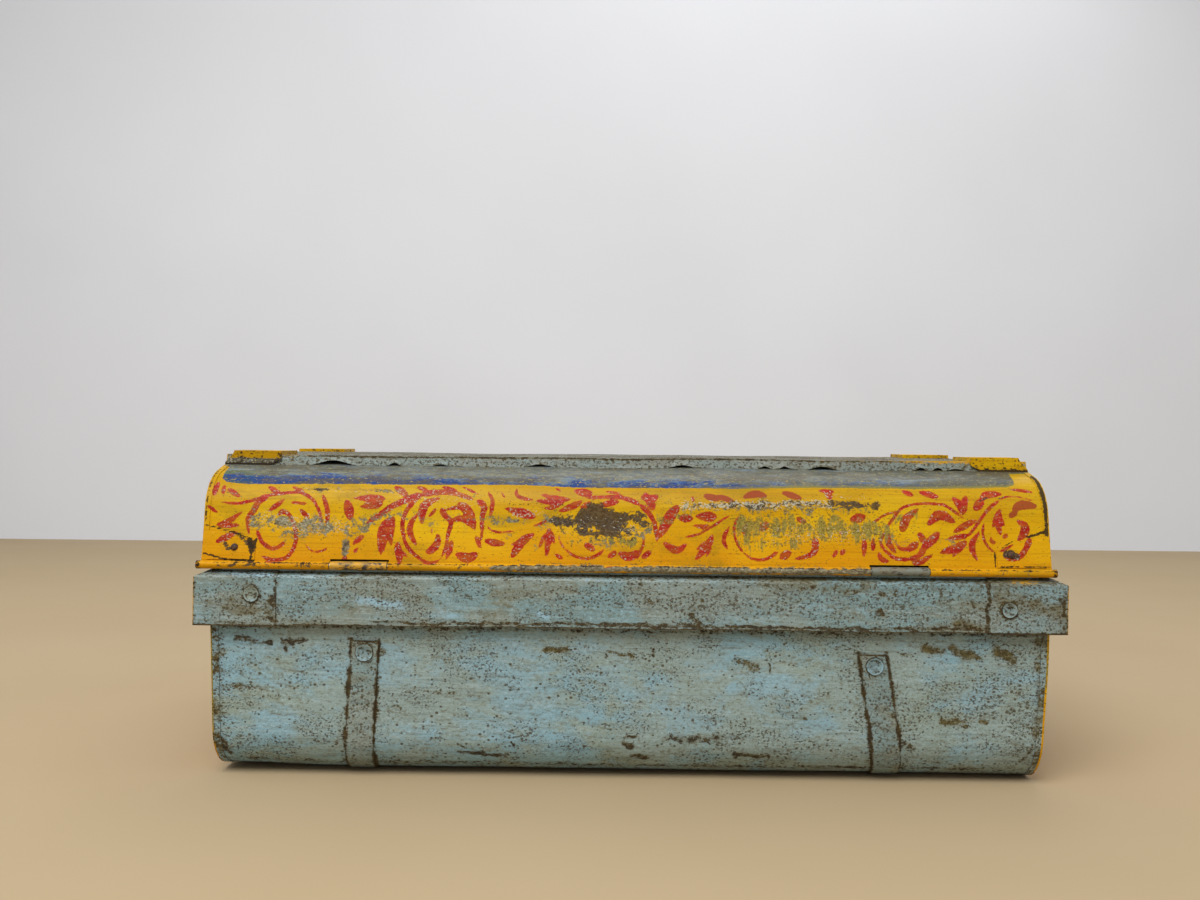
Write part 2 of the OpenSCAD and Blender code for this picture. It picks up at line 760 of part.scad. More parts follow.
module hasp_pin() {
    along_x(hasp_x - hasp_w / 2, hasp_x + hasp_w / 2)
        translate([hasp_y, hasp_z]) circle(d = hasp_pin_d);
    for (side = [-1, 1]) translate([hasp_x + side * (hasp_w + pin_head_t) / 2, hasp_y, hasp_z])
        rotate([0, 90, 0]) cylinder(r = pin_head_r, h = pin_head_t, center = true);
}

module hasp_pin_right() color("silver") hasp_pin();

module hasp_pin_left() color("silver") mirror([1, 0, 0]) hasp_pin();

// The hasp as it hangs closed: a slotted flap with a round end, below its middle knuckle
module hasp_closed() difference() {
    union() {
        along_y(flap_y, flap_y + hasp_t) difference() {
            union() {
                translate([hasp_x - hasp_w / 2, hasp_z - hasp_l + hasp_w / 2])
                    square([hasp_w, hasp_l - hasp_w / 2 - barrel_r - barrel_gap]);
                translate([hasp_x, hasp_z - hasp_l + hasp_w / 2]) circle(hasp_w / 2);
                translate([hasp_x - middle_w / 2, hasp_z - barrel_r - 1]) square([middle_w, barrel_r + 1]);
            }
            translate([hasp_x - slot_w / 2, staple_z - slot_l / 2 + slot_w / 2 - slot_low])
                square([slot_w, slot_l - slot_w]);
            for (end = [-1, 1])
                translate([hasp_x, staple_z - slot_low + end * (slot_l - slot_w) / 2]) circle(d = slot_w);
        }
        along_x(hasp_x - middle_w / 2, hasp_x + middle_w / 2)
            translate([hasp_y, hasp_z]) circle(barrel_r);
    }
    hasp_pin_hole();
}

// The hasp thrown back on the lid
module hasp() translate([0, hasp_y, hasp_z]) rotate([hasp_back, 0, 0])
    translate([0, -hasp_y, -hasp_z]) hasp_closed();

module hasp_right() color("gray") hasp();

module hasp_left() color("gray") mirror([1, 0, 0]) hasp();

translate([0, centre_y, 0]) {
    body_wrap();
    body_end_left();
    body_end_right();
    rim_strip_back();
    rim_strip_front();
    rim_end_left();
    rim_end_right();
    rim_rivets();
    strap_left();
    strap_right();
    strap_rivets();
    hinge_leaf_left();
    hinge_leaf_right();
    hinge_rivets();
    staple_plate_left();
    staple_plate_right();
    staple_left();
    staple_right();
    staple_plate_rivets();
    handle_clips_left();
    handle_clips_right();
    handle_clip_rivets();
    lid_back_sheet();
    lid_front_sheet();
    lid_top_panel();
    lid_end_left();
    lid_end_right();
    lid_wire_back();
    lid_wire_front();
    lid_cap_back_left();
    lid_cap_back_right();
    lid_cap_front_left();
    lid_cap_front_right();
    lid_tab_nails();
    hasp_plate_left();
    hasp_plate_right();
    hasp_plate_rivets();
    hasp_pin_left();
    hasp_pin_right();
    hasp_left();
    hasp_right();
    handle_left();
    handle_right();
}
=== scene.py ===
"""Looks of the painted sheet-steel trunk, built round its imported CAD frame.

The hinge side is -Y and left is -X, as in the CAD. The frame is in metres; sizes here are in
millimetres, and turn into metres where a mesh is made.
"""

import logging
import math
from collections.abc import Callable, Iterable, Sequence
from dataclasses import dataclass
from enum import Enum

import bmesh
import bpy
import numpy as np
from mathutils import Matrix, Vector, noise


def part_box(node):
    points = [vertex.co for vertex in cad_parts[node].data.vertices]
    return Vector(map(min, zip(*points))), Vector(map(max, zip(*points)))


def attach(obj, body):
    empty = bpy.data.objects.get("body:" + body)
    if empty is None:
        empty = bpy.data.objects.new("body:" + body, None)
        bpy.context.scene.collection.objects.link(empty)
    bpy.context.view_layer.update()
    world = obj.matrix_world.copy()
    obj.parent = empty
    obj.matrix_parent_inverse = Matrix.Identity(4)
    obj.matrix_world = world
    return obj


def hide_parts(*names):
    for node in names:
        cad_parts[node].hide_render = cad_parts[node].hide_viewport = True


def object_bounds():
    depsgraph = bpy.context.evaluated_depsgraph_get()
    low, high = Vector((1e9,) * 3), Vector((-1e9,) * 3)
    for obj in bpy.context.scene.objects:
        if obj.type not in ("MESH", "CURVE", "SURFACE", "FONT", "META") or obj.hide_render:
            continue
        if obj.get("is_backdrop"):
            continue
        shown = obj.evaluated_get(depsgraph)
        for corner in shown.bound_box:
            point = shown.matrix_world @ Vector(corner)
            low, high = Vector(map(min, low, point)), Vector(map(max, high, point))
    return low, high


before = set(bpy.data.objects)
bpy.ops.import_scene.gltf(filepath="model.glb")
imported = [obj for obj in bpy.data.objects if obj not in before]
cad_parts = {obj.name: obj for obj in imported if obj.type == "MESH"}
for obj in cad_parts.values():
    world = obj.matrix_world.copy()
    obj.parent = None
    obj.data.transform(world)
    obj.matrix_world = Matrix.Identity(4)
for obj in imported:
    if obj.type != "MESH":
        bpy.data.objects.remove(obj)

MM = 0.001
MIDDLE_Y = -6.5
BODY_BACK = -210.5
BAND_BACK = -221.5
FAR = 6.0  # how far from painted edges is measured, in millimetres
MERGE = 1e-6
NOISE_SEED = 5
SHARP = math.radians(32)
log = logging.getLogger("trunk")

Colour = tuple[float, float, float, float]
Values = dict[str, np.ndarray | float]
PLAIN_YELLOW: Values = {"scroll": FAR, "pink": FAR, "strip": -9.0}


def linear(code: str) -> Colour:
    """Turns a six-digit colour code into linear red, green, blue and alpha."""
    parts = [int(code[i : i + 2], 16) / 255 for i in (0, 2, 4)]
    red, green, blue = [p / 12.92 if p <= 0.04045 else ((p + 0.055) / 1.055) ** 2.4 for p in parts]
    return red, green, blue, 1.0


def smooth_fall(share: np.ndarray) -> np.ndarray:
    """Falls smoothly from 1 at a share of 0 to 0 at a share of 1."""
    t = np.clip(1 - share, 0, 1)
    return t * t * (3 - 2 * t)


def line_distance(
    x: np.ndarray, z: np.ndarray, ends: Sequence[float]
) -> tuple[np.ndarray, np.ndarray]:
    """Measures points of a plane from a straight stretch.

    Args:
        x: First coordinate of the points.
        z: Second coordinate of the points.
        ends: The stretch's two ends as x0, z0, x1, z1.

    Returns:
        The distance, and how far along the stretch its nearest point lies, from 0 to 1.
    """
    x0, z0, x1, z1 = ends
    length = max((x1 - x0) ** 2 + (z1 - z0) ** 2, 1e-9)
    along = np.clip(((x - x0) * (x1 - x0) + (z - z0) * (z1 - z0)) / length, 0, 1)
    return np.hypot(x - x0 - along * (x1 - x0), z - z0 - along * (z1 - z0)), along


@dataclass(frozen=True)
class Viewpoint:
    """Where the photograph was taken from, and what its pixels show."""

    place: tuple[float, float, float] = (-17.47, -1169.43, 306.32)
    focal: float = 1064.88
    width: float = 1200.0
    height: float = 900.0
    yaw: float = 0.585
    pitch: float = -0.418
    roll: float = 0.56
    sensor: float = 36.0

    def turn(self) -> Matrix:
        """Gives the camera's rotation."""
        yaw = Matrix.Rotation(math.radians(self.yaw), 3, "Z")
        tilt = Matrix.Rotation(math.radians(90 + self.pitch), 3, "X")
        return yaw @ tilt @ Matrix.Rotation(math.radians(self.roll), 3, "Z")

    def on_plane(self, column: float, row: float, plane: float) -> tuple[float, float]:
        """Finds what a pixel shows on an upright plane.

        Args:
            column: Pixel's place from the left, in the picture of 1200 by 900.
            row: Pixel's place from the top.
            plane: The plane's Y in millimetres.

        Returns:
            X and Z in millimetres.
        """
        local = ((column - self.width / 2) / self.focal, (self.height / 2 - row) / self.focal, -1)
        way = self.turn() @ Vector(local)
        reach = (plane - self.place[1]) / way.y
        return self.place[0] + reach * way.x, self.place[2] + reach * way.z

    def build(self) -> None:
        """Makes the scene's camera."""
        data = bpy.data.cameras.new("camera")
        data.sensor_fit = "HORIZONTAL"
        data.sensor_width = self.sensor
        data.lens = self.focal * self.sensor / self.width
        camera = bpy.data.objects.new("camera", data)
        bpy.context.scene.collection.objects.link(camera)
        camera.matrix_world = Matrix.Translation(Vector(self.place) * MM) @ self.turn().to_4x4()
        bpy.context.scene.camera = camera


VIEW = Viewpoint()


@dataclass(frozen=True)
class Spot:
    """A patch, streak or scratch of wear on a sheet, by its ends there, its reach and strength."""

    ends: Sequence[float]
    reach: float
    strength: float

    def value(self, across: np.ndarray, up: np.ndarray) -> np.ndarray:
        """Gives the spot's strength at points of the sheet, in millimetres."""
        return self.strength * smooth_fall(line_distance(across, up, self.ends)[0] / self.reach)


Wear = dict[str, list[Spot]]


def spots(*rows: Sequence[float]) -> list[Spot]:
    """Makes spots from rows of both ends, reach and strength, in millimetres on the sheet."""
    return [Spot(ends, reach, strength) for *ends, reach, strength in rows]


def seen_at(plane: float, *rows: Sequence[float]) -> list[Spot]:
    """Makes spots on an upright plane from the pixels that their ends have in the photograph.

    Args:
        plane: The plane's Y in millimetres.
        rows: Both ends' pixels, then reach in millimetres and strength.

    Returns:
        The spots, by X and Z.
    """
    return spots(*((*VIEW.on_plane(c0, r0, plane), *VIEW.on_plane(c1, r1, plane), reach, strength)
                   for c0, r0, c1, r1, reach, strength in rows))


def strongest(marks: Iterable[Spot], across: np.ndarray, up: np.ndarray) -> np.ndarray:
    """Gives the strength of the strongest of some spots at points of their sheet."""
    return np.max([mark.value(across, up) for mark in marks], axis=0)


def from_middle(points: np.ndarray) -> np.ndarray:
    """Gives how far each point lies from the trunk's middle plane. Millimetres."""
    return np.abs(points[:, 1] - MIDDLE_Y)


def jostle(points: np.ndarray, pitch: float, seed: float) -> np.ndarray:
    """Gives a smooth random push of about 1 for each point.

    Args:
        points: The places in millimetres.
        pitch: How far apart its swells lie.
        seed: Picks the pattern.

    Returns:
        Three numbers for each point.
    """
    base = Vector((seed, 2 * seed, 3 * seed))
    return np.array([noise.noise_vector(Vector(p) / pitch + base) for p in points])


@dataclass(frozen=True)
class Dent:
    """A smooth push on the metal, strongest at its middle. Millimetres."""

    middle: tuple[float, float, float]
    reach: tuple[float, float, float]
    push: tuple[float, float, float]

    def share(self, points: np.ndarray) -> np.ndarray:
        """Gives how much of the push each point takes."""
        away = ((points - np.array(self.middle)) / np.array(self.reach)) ** 2
        return np.clip(1 - away.sum(1), 0, 1) ** 2


@dataclass(frozen=True)
class Warp:
    """Ripples and dents of a sheet-metal body, the same for every piece that is fixed to it."""

    ripple: float
    pitch: float
    seed: float
    dents: tuple[Dent, ...]
    calm: tuple[Dent, ...]

    def bend(self, points: np.ndarray, more: Iterable[Dent] = ()) -> np.ndarray:
        """Moves points as the worn metal lies.

        Args:
            points: Places in millimetres, a row each.
            more: Further dents of one piece.

        Returns:
            The moved places, kept inside the CAD model's box.
        """
        calm = np.ones(len(points))
        for zone in self.calm:
            calm *= 1 - zone.share(points) * zone.push[0]
        waves = jostle(points, self.pitch, self.seed)
        moved = points + waves * (self.ripple * calm)[:, None]
        for dent in (*self.dents, *more):
            moved += dent.share(points)[:, None] * np.array(dent.push)
        return np.clip(moved, LOW, HIGH)



class Kind(Enum):
    """How a brush stroke swells along its length."""

    STEM = "even, with short pointed ends"
    LEAF = "full in the middle and pointed at both ends"
    BUD = "full near its end, from a thin start"

    def swell(self, along: float) -> float:
        """Gives the stroke's share of its full width at a place from 0 to 1 along it."""
        if self is Kind.STEM:
            return min(1.0, along / 0.1 + 0.25, (1 - along) / 0.1 + 0.25)
        power = 1.0 if self is Kind.LEAF else 1.5
        return max(math.sin(math.pi * along**power), 0.0) ** 0.6


@dataclass(frozen=True)
class Stroke:
    """One stroke of the brush: its kind, its widths at both ends, and the points it follows."""

    kind: Kind
    widths: tuple[float, float]
    points: tuple[tuple[float, float], ...]

    def stretches(self) -> list[tuple[float, ...]]:
        """Gives short straight stretches along the stroke: two ends and the half widths there."""
        pts = [Vector(p) for p in self.points]
        line = [pts[0] * 2 - pts[1], *pts, pts[-1] * 2 - pts[-2]]
        steps = 5 if len(pts) > 2 else 8
        fine = []
        for a, b, c, d in zip(line, line[1:], line[2:], line[3:]):
            for t in (k / steps for k in range(steps)):
                square, cube = 2 * a - 5 * b + 4 * c - d, 3 * b - a - 3 * c + d
                fine.append(0.5 * (2 * b + (c - a) * t + square * t * t + cube * t**3))
        fine.append(pts[-1])
        count = len(fine) - 1
        first, last = self.widths
        shares = [i / count for i in range(count + 1)]
        halves = [(first + (last - first) * t) / 2 * self.kind.swell(t) for t in shares]
        return [(*fine[i], *fine[i + 1], halves[i], halves[i + 1]) for i in range(count)]


def brush(kind: Kind, *rows: Sequence[float | tuple[float, float]]) -> list[Stroke]:
    """Makes strokes of a kind from rows: one or two widths, then the points as plain numbers."""
    return [
        Stroke(kind, width if isinstance(width, tuple) else (width, width),
               tuple(zip(flat[::2], flat[1::2])))
        for width, *flat in rows
    ]


SCROLL = (
    *brush(
        Kind.STEM,
        (3, -371, 56, -357, 55.5, -342, 59, -328, 64, -315, 66, -303, 67, -295, 64, -288, 58.5,
         -283.5, 51, -281, 45, -279, 34),
        ((2.5, 7), -344.5, 27, -347, 39, -346, 43, -342, 49, -338, 57, -330, 64),
        (3.5, -338, 32, -334, 23, -329, 18, -322, 14.5, -315, 17.5, -312, 21),
        (3.5, -332, 8, -323, 4.5, -312, 5.5, -306, 10, -302, 20, -302, 27, -303.5, 34, -307, 42,
        -312, 48, -319, 46), (2.5, -309, 57, -294.5, 56),
        (1.5, -293.5, 19, -288, 13.5, -281, 12, -272.5, 15),
        ((4, 7.5), -239, 37.5, -228, 45.5, -217, 53.5, -208, 58.5, -200, 62, -191, 66),
        ((7, 3.5), -191, 66, -178, 68.5, -165, 68.5, -153, 65.5, -143, 61.5),
        ((6.5, 1.6), -139, 61, -132.5, 54.5, -134, 47, -134, 38, -133.5, 31, -135.5, 21.5),
        ((4.5, 2), -194, 61, -201, 54, -205, 46, -206, 36.5, -204, 26.5, -200, 17.5, -192, 9.5,
         -184, 4.5, -175, 4, -169.5, 7.5),
        ((2, 6), -169.5, 7.5, -166, 16.5, -164.5, 28.5, -162.5, 37, -163, 42, -168, 46.5, -172, 53),
        (1.6, -118, 69.5, -114, 64), (1.8, -129, 37, -124, 33, -116, 31.5, -104, 33),
        ((3, 5), -40, 64, -26, 65, -12.5, 65.5, 0, 63, 10, 58.5),
        ((5, 3), 10, 58.5, 17, 52, 22.5, 43.5, 24, 34.5, 25, 25.5),
        ((1.6, 3), -64, 29.5, -61.5, 21.5, -55, 14.5, -47, 10, -37, 8.5, -29, 11.5, -22.5, 17),
        (2, 13.5, 31, 12.5, 21, 7, 9), (1.6, -20, 1, -10, 1.4),
        (2, 50, 29.5, 61.5, 32, 71.5, 37, 81.5, 43.5, 90.5, 49),
        ((2.5, 2), 98.5, 48, 95, 40.5, 94.5, 31.5, 97.5, 22.5, 102, 16),
        ((1.8, 3.5), 102, 16, 108.5, 11, 118.5, 9, 126.5, 11.5, 134, 16),
        ((2, 7), 148.5, 10.5, 158, 12, 166.5, 17, 167.5, 28.5), (1.9, 220, 44, 232, 52, 243, 54.5),
        (2.5, 231, 38.5, 238, 47.5, 245.5, 57, 258.5, 62, 274, 62.5, 285, 61, 292, 56, 301, 49),
        ((2.2, 4), 230.5, 36, 226.5, 25.5, 232.5, 16.5, 240.5, 11.5, 252, 11),
        ((4, 7.5), 252, 11, 261, 15.5, 266.5, 23.5, 278, 34),
        (3, 305, 33, 313, 43, 318.5, 50.5, 326, 59, 335.5, 66),
        (2, 319.5, 44.5, 318, 35.5, 320, 27, 324, 21, 327, 19),
        (1.6, 335.5, 66.5, 343.5, 70, 354.5, 69.5, 365.5, 66),
        (5, 360.5, 31, 356.5, 22.5, 350, 14.5, 341.5, 13, 336.5, 16.5),
    ),
    *brush(
        Kind.LEAF,
        (4, -320, 45, -315, 49, -307, 43), (4.5, -329, 48, -314, 60.5), (4, -300, 51, -291, 42),
        (5, -331, 73, -320, 66), (3.5, -310, 73.5, -297, 67), (4.5, -281, 66, -275, 50, -274.5, 34),
        (5, -378, 78, -379, 62), (4, -372, 74, -371, 64), (5, -368, 70, -355, 61.5),
        (3, -384, 53, -374, 46), (5, -352, 48, -364, 39, -375, 35.5), (4, -353, 36, -373, 34),
        (6, -355, 29.5, -374.5, 20), (9, -258, 59, -253, 41), (5, -240, 27, -250, 19),
        (3, -245, 16, -248.5, 11), (4, -255.5, 8, -258.5, 3.5),
        (5.5, -191, 50, -197.5, 41, -199, 32, -196, 25, -192, 19),
        (8, -173, 63, -186, 57, -189, 49, -188.5, 38), (3, -176, 53, -183, 45),
        (7, -174, 30, -173.5, 21.5, -179, 14.5, -184, 13.5), (2, -179.5, 35.5, -179.5, 28.5),
        (9, -157, 59, -147, 50, -140, 33), (4, -168, 52, -155, 54, -148, 48),
        (6, -163, 42, -152, 44, -143, 36), (9, -157, 12, -146, 8, -137, 12),
        (5, -139, 28, -134, 17), (5.5, -160.5, 25, -162, 15.5, -165, 6.5),
        (7, -209.5, 21.5, -208, 13.5, -206, 1.5), (3, -209, 16, -199.5, 8),
        (11, -214, 44, -222, 33, -224, 10), (5, -213, 40, -216, 28, -215, 19),
        (7, -216, 74.5, -203.5, 64), (4.5, -196, 74.5, -184, 69), (4, -173.5, 75, -158, 70),
        (2.5, -154.5, 75, -138, 66.5), (4, -130.5, 70.5, -125.5, 61, -126, 51.5, -127, 45.5),
        (3.5, -103.5, 74, -103.5, 66.5, -95, 62.5, -88, 62),
        (6.5, -131, 24.5, -122, 22, -112, 21.5),
        (8, -85.5, 30.5, -94.5, 25.5, -101.5, 16.5, -106, 8.5), (2.5, -100, 23, -107, 20),
        (6, -73, 36, -73, 26.5, -75, 9), (3.5, -75.5, 32, -81.5, 17.5), (3, -70, 32.5, -68, 21),
        (2.5, -88, 37.5, -80, 40, -74.5, 44), (4.5, -81.5, 67.5, -71, 64.5, -54, 63),
        (5, -86, 61, -70, 60, -53, 63), (4, -78, 54, -69, 55, -60, 59.5), (2, -69, 75, -62.5, 70.5),
        (4, -66.5, 12, -60, 8), (6, -65, 51, -52, 56, -43, 61), (5, -44.5, 54.5, -35, 60),
        (6, -28, 57, -9, 61), (6, -40, 22, -31, 16), (5, -19, 10, -12, 15),
        (3, -22.5, 71.5, -6.5, 68.5), (8, -9.5, 14, 0, 10.5, 9.5, 16), (5, 11.5, 9.5, 19.5, 16),
        (8, 14, 71, 20, 60, 22, 54), (8, 11, 66, 20, 64, 26, 67), (10, 45, 58, 36, 46, 26, 27),
        (7, 57, 46, 45, 47), (4, 57, 40, 66, 39, 72, 40),
        (7, 30.5, 24.5, 36.5, 20, 44, 17.5, 52, 24), (7, 75, 32, 71.5, 24, 66, 16.5, 59, 8),
        (3, 69, 26, 60, 17.5), (2.5, 73.5, 21, 69, 11), (4, 90.5, 40, 86, 31.5, 85, 25, 88.5, 18),
        (2.5, 57.5, 67, 58.5, 61.5), (4.5, 106, 42, 103.5, 36, 105, 30), (7, 125, 42, 118, 36),
        (7, 136, 11, 145, 16), (5, 151.5, 47, 159.5, 43), (5, 173, 74, 187, 73),
        (6, 180, 74, 183, 65), (8, 200, 46, 213, 50), (4, 183, 12, 187, 19),
        (4, 190, 14.5, 193.5, 19), (5, 211.5, 29.5, 211.5, 22.5, 210.5, 12.5),
        (4, 220, 30, 219, 18), (3, 133, 35, 137, 36), (3, 189.5, 34, 193.5, 35),
        (8, 262, 58, 251, 49.5, 247.5, 41.5, 246, 37), (9, 269, 43, 280, 52, 294, 45),
        (6, 234, 35.5, 234, 25, 240, 16.5), (4, 238, 27.5, 245.5, 20.5, 254, 22.5, 258.5, 27),
        (7, 250, 19, 260, 27), (6, 261, 36, 266, 26), (8, 279, 37, 272, 29, 262, 20),
        (5, 253.5, 8, 260.5, 8.5, 273, 16), (5, 224, 17.5, 226.5, 11, 233.5, 9),
        (7, 264, 75, 281, 69), (6, 249, 76, 258, 70.5), (7, 293, 69, 298, 62, 302, 52),
        (6, 306, 71, 303, 62, 302, 53), (5, 306, 34, 296, 32, 285, 30),
        (8, 303.5, 28.5, 293.5, 22, 279, 17.5), (3.5, 304, 27, 290, 14),
        (6, 313, 47.5, 302.5, 42.5, 291.5, 36), (6, 315, 37, 309, 27.5, 308, 20.5, 312.5, 10),
        (8, 339, 73, 326, 72, 318, 66), (8, 320, 66, 312, 57), (4, 348, 78.5, 359, 77, 368, 75),
        (7, 335, 58, 332, 50, 332.5, 43, 334, 33.5), (2.5, 330, 52, 327, 40),
        (2.5, 334, 55, 338, 41), (8, 349, 47.5, 356, 42, 355, 35, 349.5, 29),
        (3, 325, 32.5, 326, 28, 329.5, 26.5), (4, 336.5, 31, 340, 34.5),
        (2.5, 332, 18.5, 346, 25.5),
    ),
    *brush(
        Kind.BUD,
        (8, -253, 61, -223, 61), (9, -246, 53, -226, 57), (9, -115, 54, -85, 46),
        (9, -52, 72, -35, 68), (9, 60, 48, 78, 48),
    ),
)

PINK_BUDS = (
    *brush(
        Kind.LEAF,
        (7, 68, 68, 82, 64), (6, 79, 68, 95, 62), (8, 103, 66, 115, 70, 126, 67),
        (7, 139, 72, 157, 65), (9, 346, 56, 356, 62, 369, 60), (6, 343, 50, 350, 56),
    ),
)


def painted(strokes: Iterable[Stroke], across: np.ndarray, up: np.ndarray) -> np.ndarray:
    """Measures points of a sheet from the edge of the painted strokes.

    Args:
        strokes: The brush strokes, in millimetres on the sheet.
        across: Points' first coordinate.
        up: Points' second coordinate.

    Returns:
        The distance from the nearest painted edge, below 0 inside the paint and never above FAR.
    """
    found = np.full(len(across), FAR)
    for stroke in strokes:
        xs, ups = zip(*stroke.points)
        room = FAR + max(stroke.widths)
        beside = (across > min(xs) - room) & (across < max(xs) + room)
        near = np.flatnonzero(beside & (up > min(ups) - room) & (up < max(ups) + room))
        for x0, z0, x1, z1, half0, half1 in stroke.stretches():
            away, along = line_distance(across[near], up[near], (x0, z0, x1, z1))
            found[near] = np.minimum(found[near], away - (half0 + (half1 - half0) * along))
    return found


@dataclass(frozen=True)
class LidProfile:
    """The lid's cross-section, from the rolled edge up to the raised panel."""

    middle_y: float = MIDDLE_Y
    shift: float = -4.0
    half: float = 382.0
    face: float = 207.0
    wire_z: float = 193.0
    wire_r: float = 2.5
    roll_r: float = 3.7
    roll_over: float = 3.0
    sheet: float = 0.8
    lean: float = math.radians(11)
    slope: float = math.radians(15)
    shoulder_r: float = 40.0
    foot_in: float = 62.0
    foot_z: float = 282.0
    lap: float = 10.0

    def shoulder(self) -> tuple[float, float]:
        """Gives the middle of the shoulder's arc: distance behind the lid's face, and Z."""
        a = self.wire_z * math.sin(self.lean) - self.shoulder_r
        out, rise = self.foot_in * math.sin(self.slope), self.foot_z * math.cos(self.slope)
        b = rise - out - self.shoulder_r
        det = -math.cos(self.lean + self.slope)
        return (
            (a * math.cos(self.slope) - b * math.sin(self.lean)) / det,
            (math.sin(self.slope) * a - math.cos(self.lean) * b) / det,
        )

    def lengths(self) -> tuple[float, float, float]:
        """Gives how far up the sheet the arc starts, the arc ends, and the raised panel stands."""
        deep, high = self.shoulder()
        start = (high + self.shoulder_r * math.sin(self.lean) - self.wire_z) / math.cos(self.lean)
        end = start + self.shoulder_r * (math.pi / 2 - self.lean - self.slope)
        level = self.foot_in - deep + self.shoulder_r * math.sin(self.slope)
        return start, end, end + level / math.cos(self.slope)

    def surface(self, up: float, out: float) -> tuple[float, float]:
        """Finds a place on the sheet.

        Args:
            up: How far up the sheet's outer face from the wire's height.
            out: How far outside that face.

        Returns:
            Distance behind the lid's face, and Z.
        """
        deep, high = self.shoulder()
        start, end, _ = self.lengths()
        if up < start:
            return (
                up * math.sin(self.lean) - out * math.cos(self.lean),
                self.wire_z + up * math.cos(self.lean) + out * math.sin(self.lean),
            )
        turn = math.pi - self.lean - (min(up, end) - start) / self.shoulder_r
        beyond = max(up - end, 0)
        return (
            deep + (self.shoulder_r + out) * math.cos(turn) + beyond * math.cos(self.slope),
            high + (self.shoulder_r + out) * math.sin(turn) + beyond * math.sin(self.slope),
        )

    def climb(self, points: np.ndarray) -> np.ndarray:
        """Gives how far up the sheet each point lies, on the nearer of the lid's two sides."""
        deep, high = self.shoulder()
        start, end, _ = self.lengths()
        inwards = self.face - np.abs(points[:, 1] - self.middle_y)
        skirt = (points[:, 2] - self.wire_z) / math.cos(self.lean)
        turn = np.arctan2(points[:, 2] - high, inwards - deep)
        arc = start + self.shoulder_r * (math.pi - self.lean - turn)
        flat_in = inwards - deep + self.shoulder_r * math.sin(self.slope)
        flat_up = points[:, 2] - high - self.shoulder_r * math.cos(self.slope)
        flat = end + flat_in * math.cos(self.slope) + flat_up * math.sin(self.slope)
        return np.where(skirt < start, skirt, np.where(arc < end, arc, flat))


def stations(breaks: Sequence[float], step: float) -> list[float]:
    """Divides a line into even steps that also fall on each of its break points."""
    places = [breaks[0]]
    for low, high in zip(breaks, breaks[1:]):
        count = max(1, math.ceil((high - low) / step))
        places += [low + (high - low) * (i + 1) / count for i in range(count)]
    return places


@dataclass(frozen=True)
class Cut:
    """A plane that divides a mesh: a point on it, and the way it faces. Millimetres."""

    place: tuple[float, float, float]
    faces: tuple[float, float, float]


def grid_cuts(xs: Iterable[float], ys: Iterable[float], zs: Iterable[float]) -> list[Cut]:
    """Makes upright and level planes at the given places."""
    return (
        [Cut((x, 0, 0), (1, 0, 0)) for x in xs]
        + [Cut((0, y, 0), (0, 1, 0)) for y in ys]
        + [Cut((0, 0, z), (0, 0, 1)) for z in zs]
    )


def merged_copy(node: str) -> bmesh.types.BMesh:
    """Copies a CAD node's mesh, joins its loose triangles and clears the flat faces' diagonals."""
    bm = bmesh.new()
    bm.from_mesh(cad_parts[node].data)
    bmesh.ops.remove_doubles(bm, verts=bm.verts, dist=MERGE)
    bmesh.ops.dissolve_limit(
        bm, angle_limit=math.radians(0.5), use_dissolve_boundaries=False,
        verts=bm.verts, edges=bm.edges, delimit=set(),
    )
    return bm


def divide(
    bm: bmesh.types.BMesh, cuts: Iterable[Cut],
    where: Callable[[bmesh.types.BMFace], bool] | None = None,
) -> None:
    """Divides faces that a plane crosses.

    Args:
        bm: The mesh.
        cuts: The planes.
        where: Picks the faces that are divided. All are, if it is left out.
    """
    geom = [*bm.verts, *bm.edges, *bm.faces]
    if where:
        bm.normal_update()
        faces = [f for f in bm.faces if where(f)]
        corners = dict.fromkeys(v for f in faces for v in f.verts)
        geom = [*corners, *dict.fromkeys(e for f in faces for e in f.edges), *faces]
    for cut in cuts:
        geom = bmesh.ops.bisect_plane(
            bm, geom=geom, dist=MERGE, plane_co=Vector(cut.place) * MM, plane_no=cut.faces
        )["geom"]


def faces_hinge_side(facet: bmesh.types.BMFace) -> bool:
    """Tells whether a face looks towards the hinge side, on the trunk's outside."""
    return facet.normal.y < -0.5 and facet.calc_center_median().y < -0.195


def turn_up(bm: bmesh.types.BMesh) -> None:
    """Turns all faces of a sheet over if its highest one looks down."""
    bm.normal_update()
    highest = max(bm.faces, key=lambda f: f.calc_center_median().z)
    if highest.normal.z < 0:
        bmesh.ops.reverse_faces(bm, faces=bm.faces)
        bm.normal_update()


@dataclass(frozen=True)
class Fitting:
    """How a piece is named, carried and finished."""

    name: str
    body: str
    slot: str
    nodes: tuple[str, ...]
    finishes: tuple[bpy.types.Material, ...]


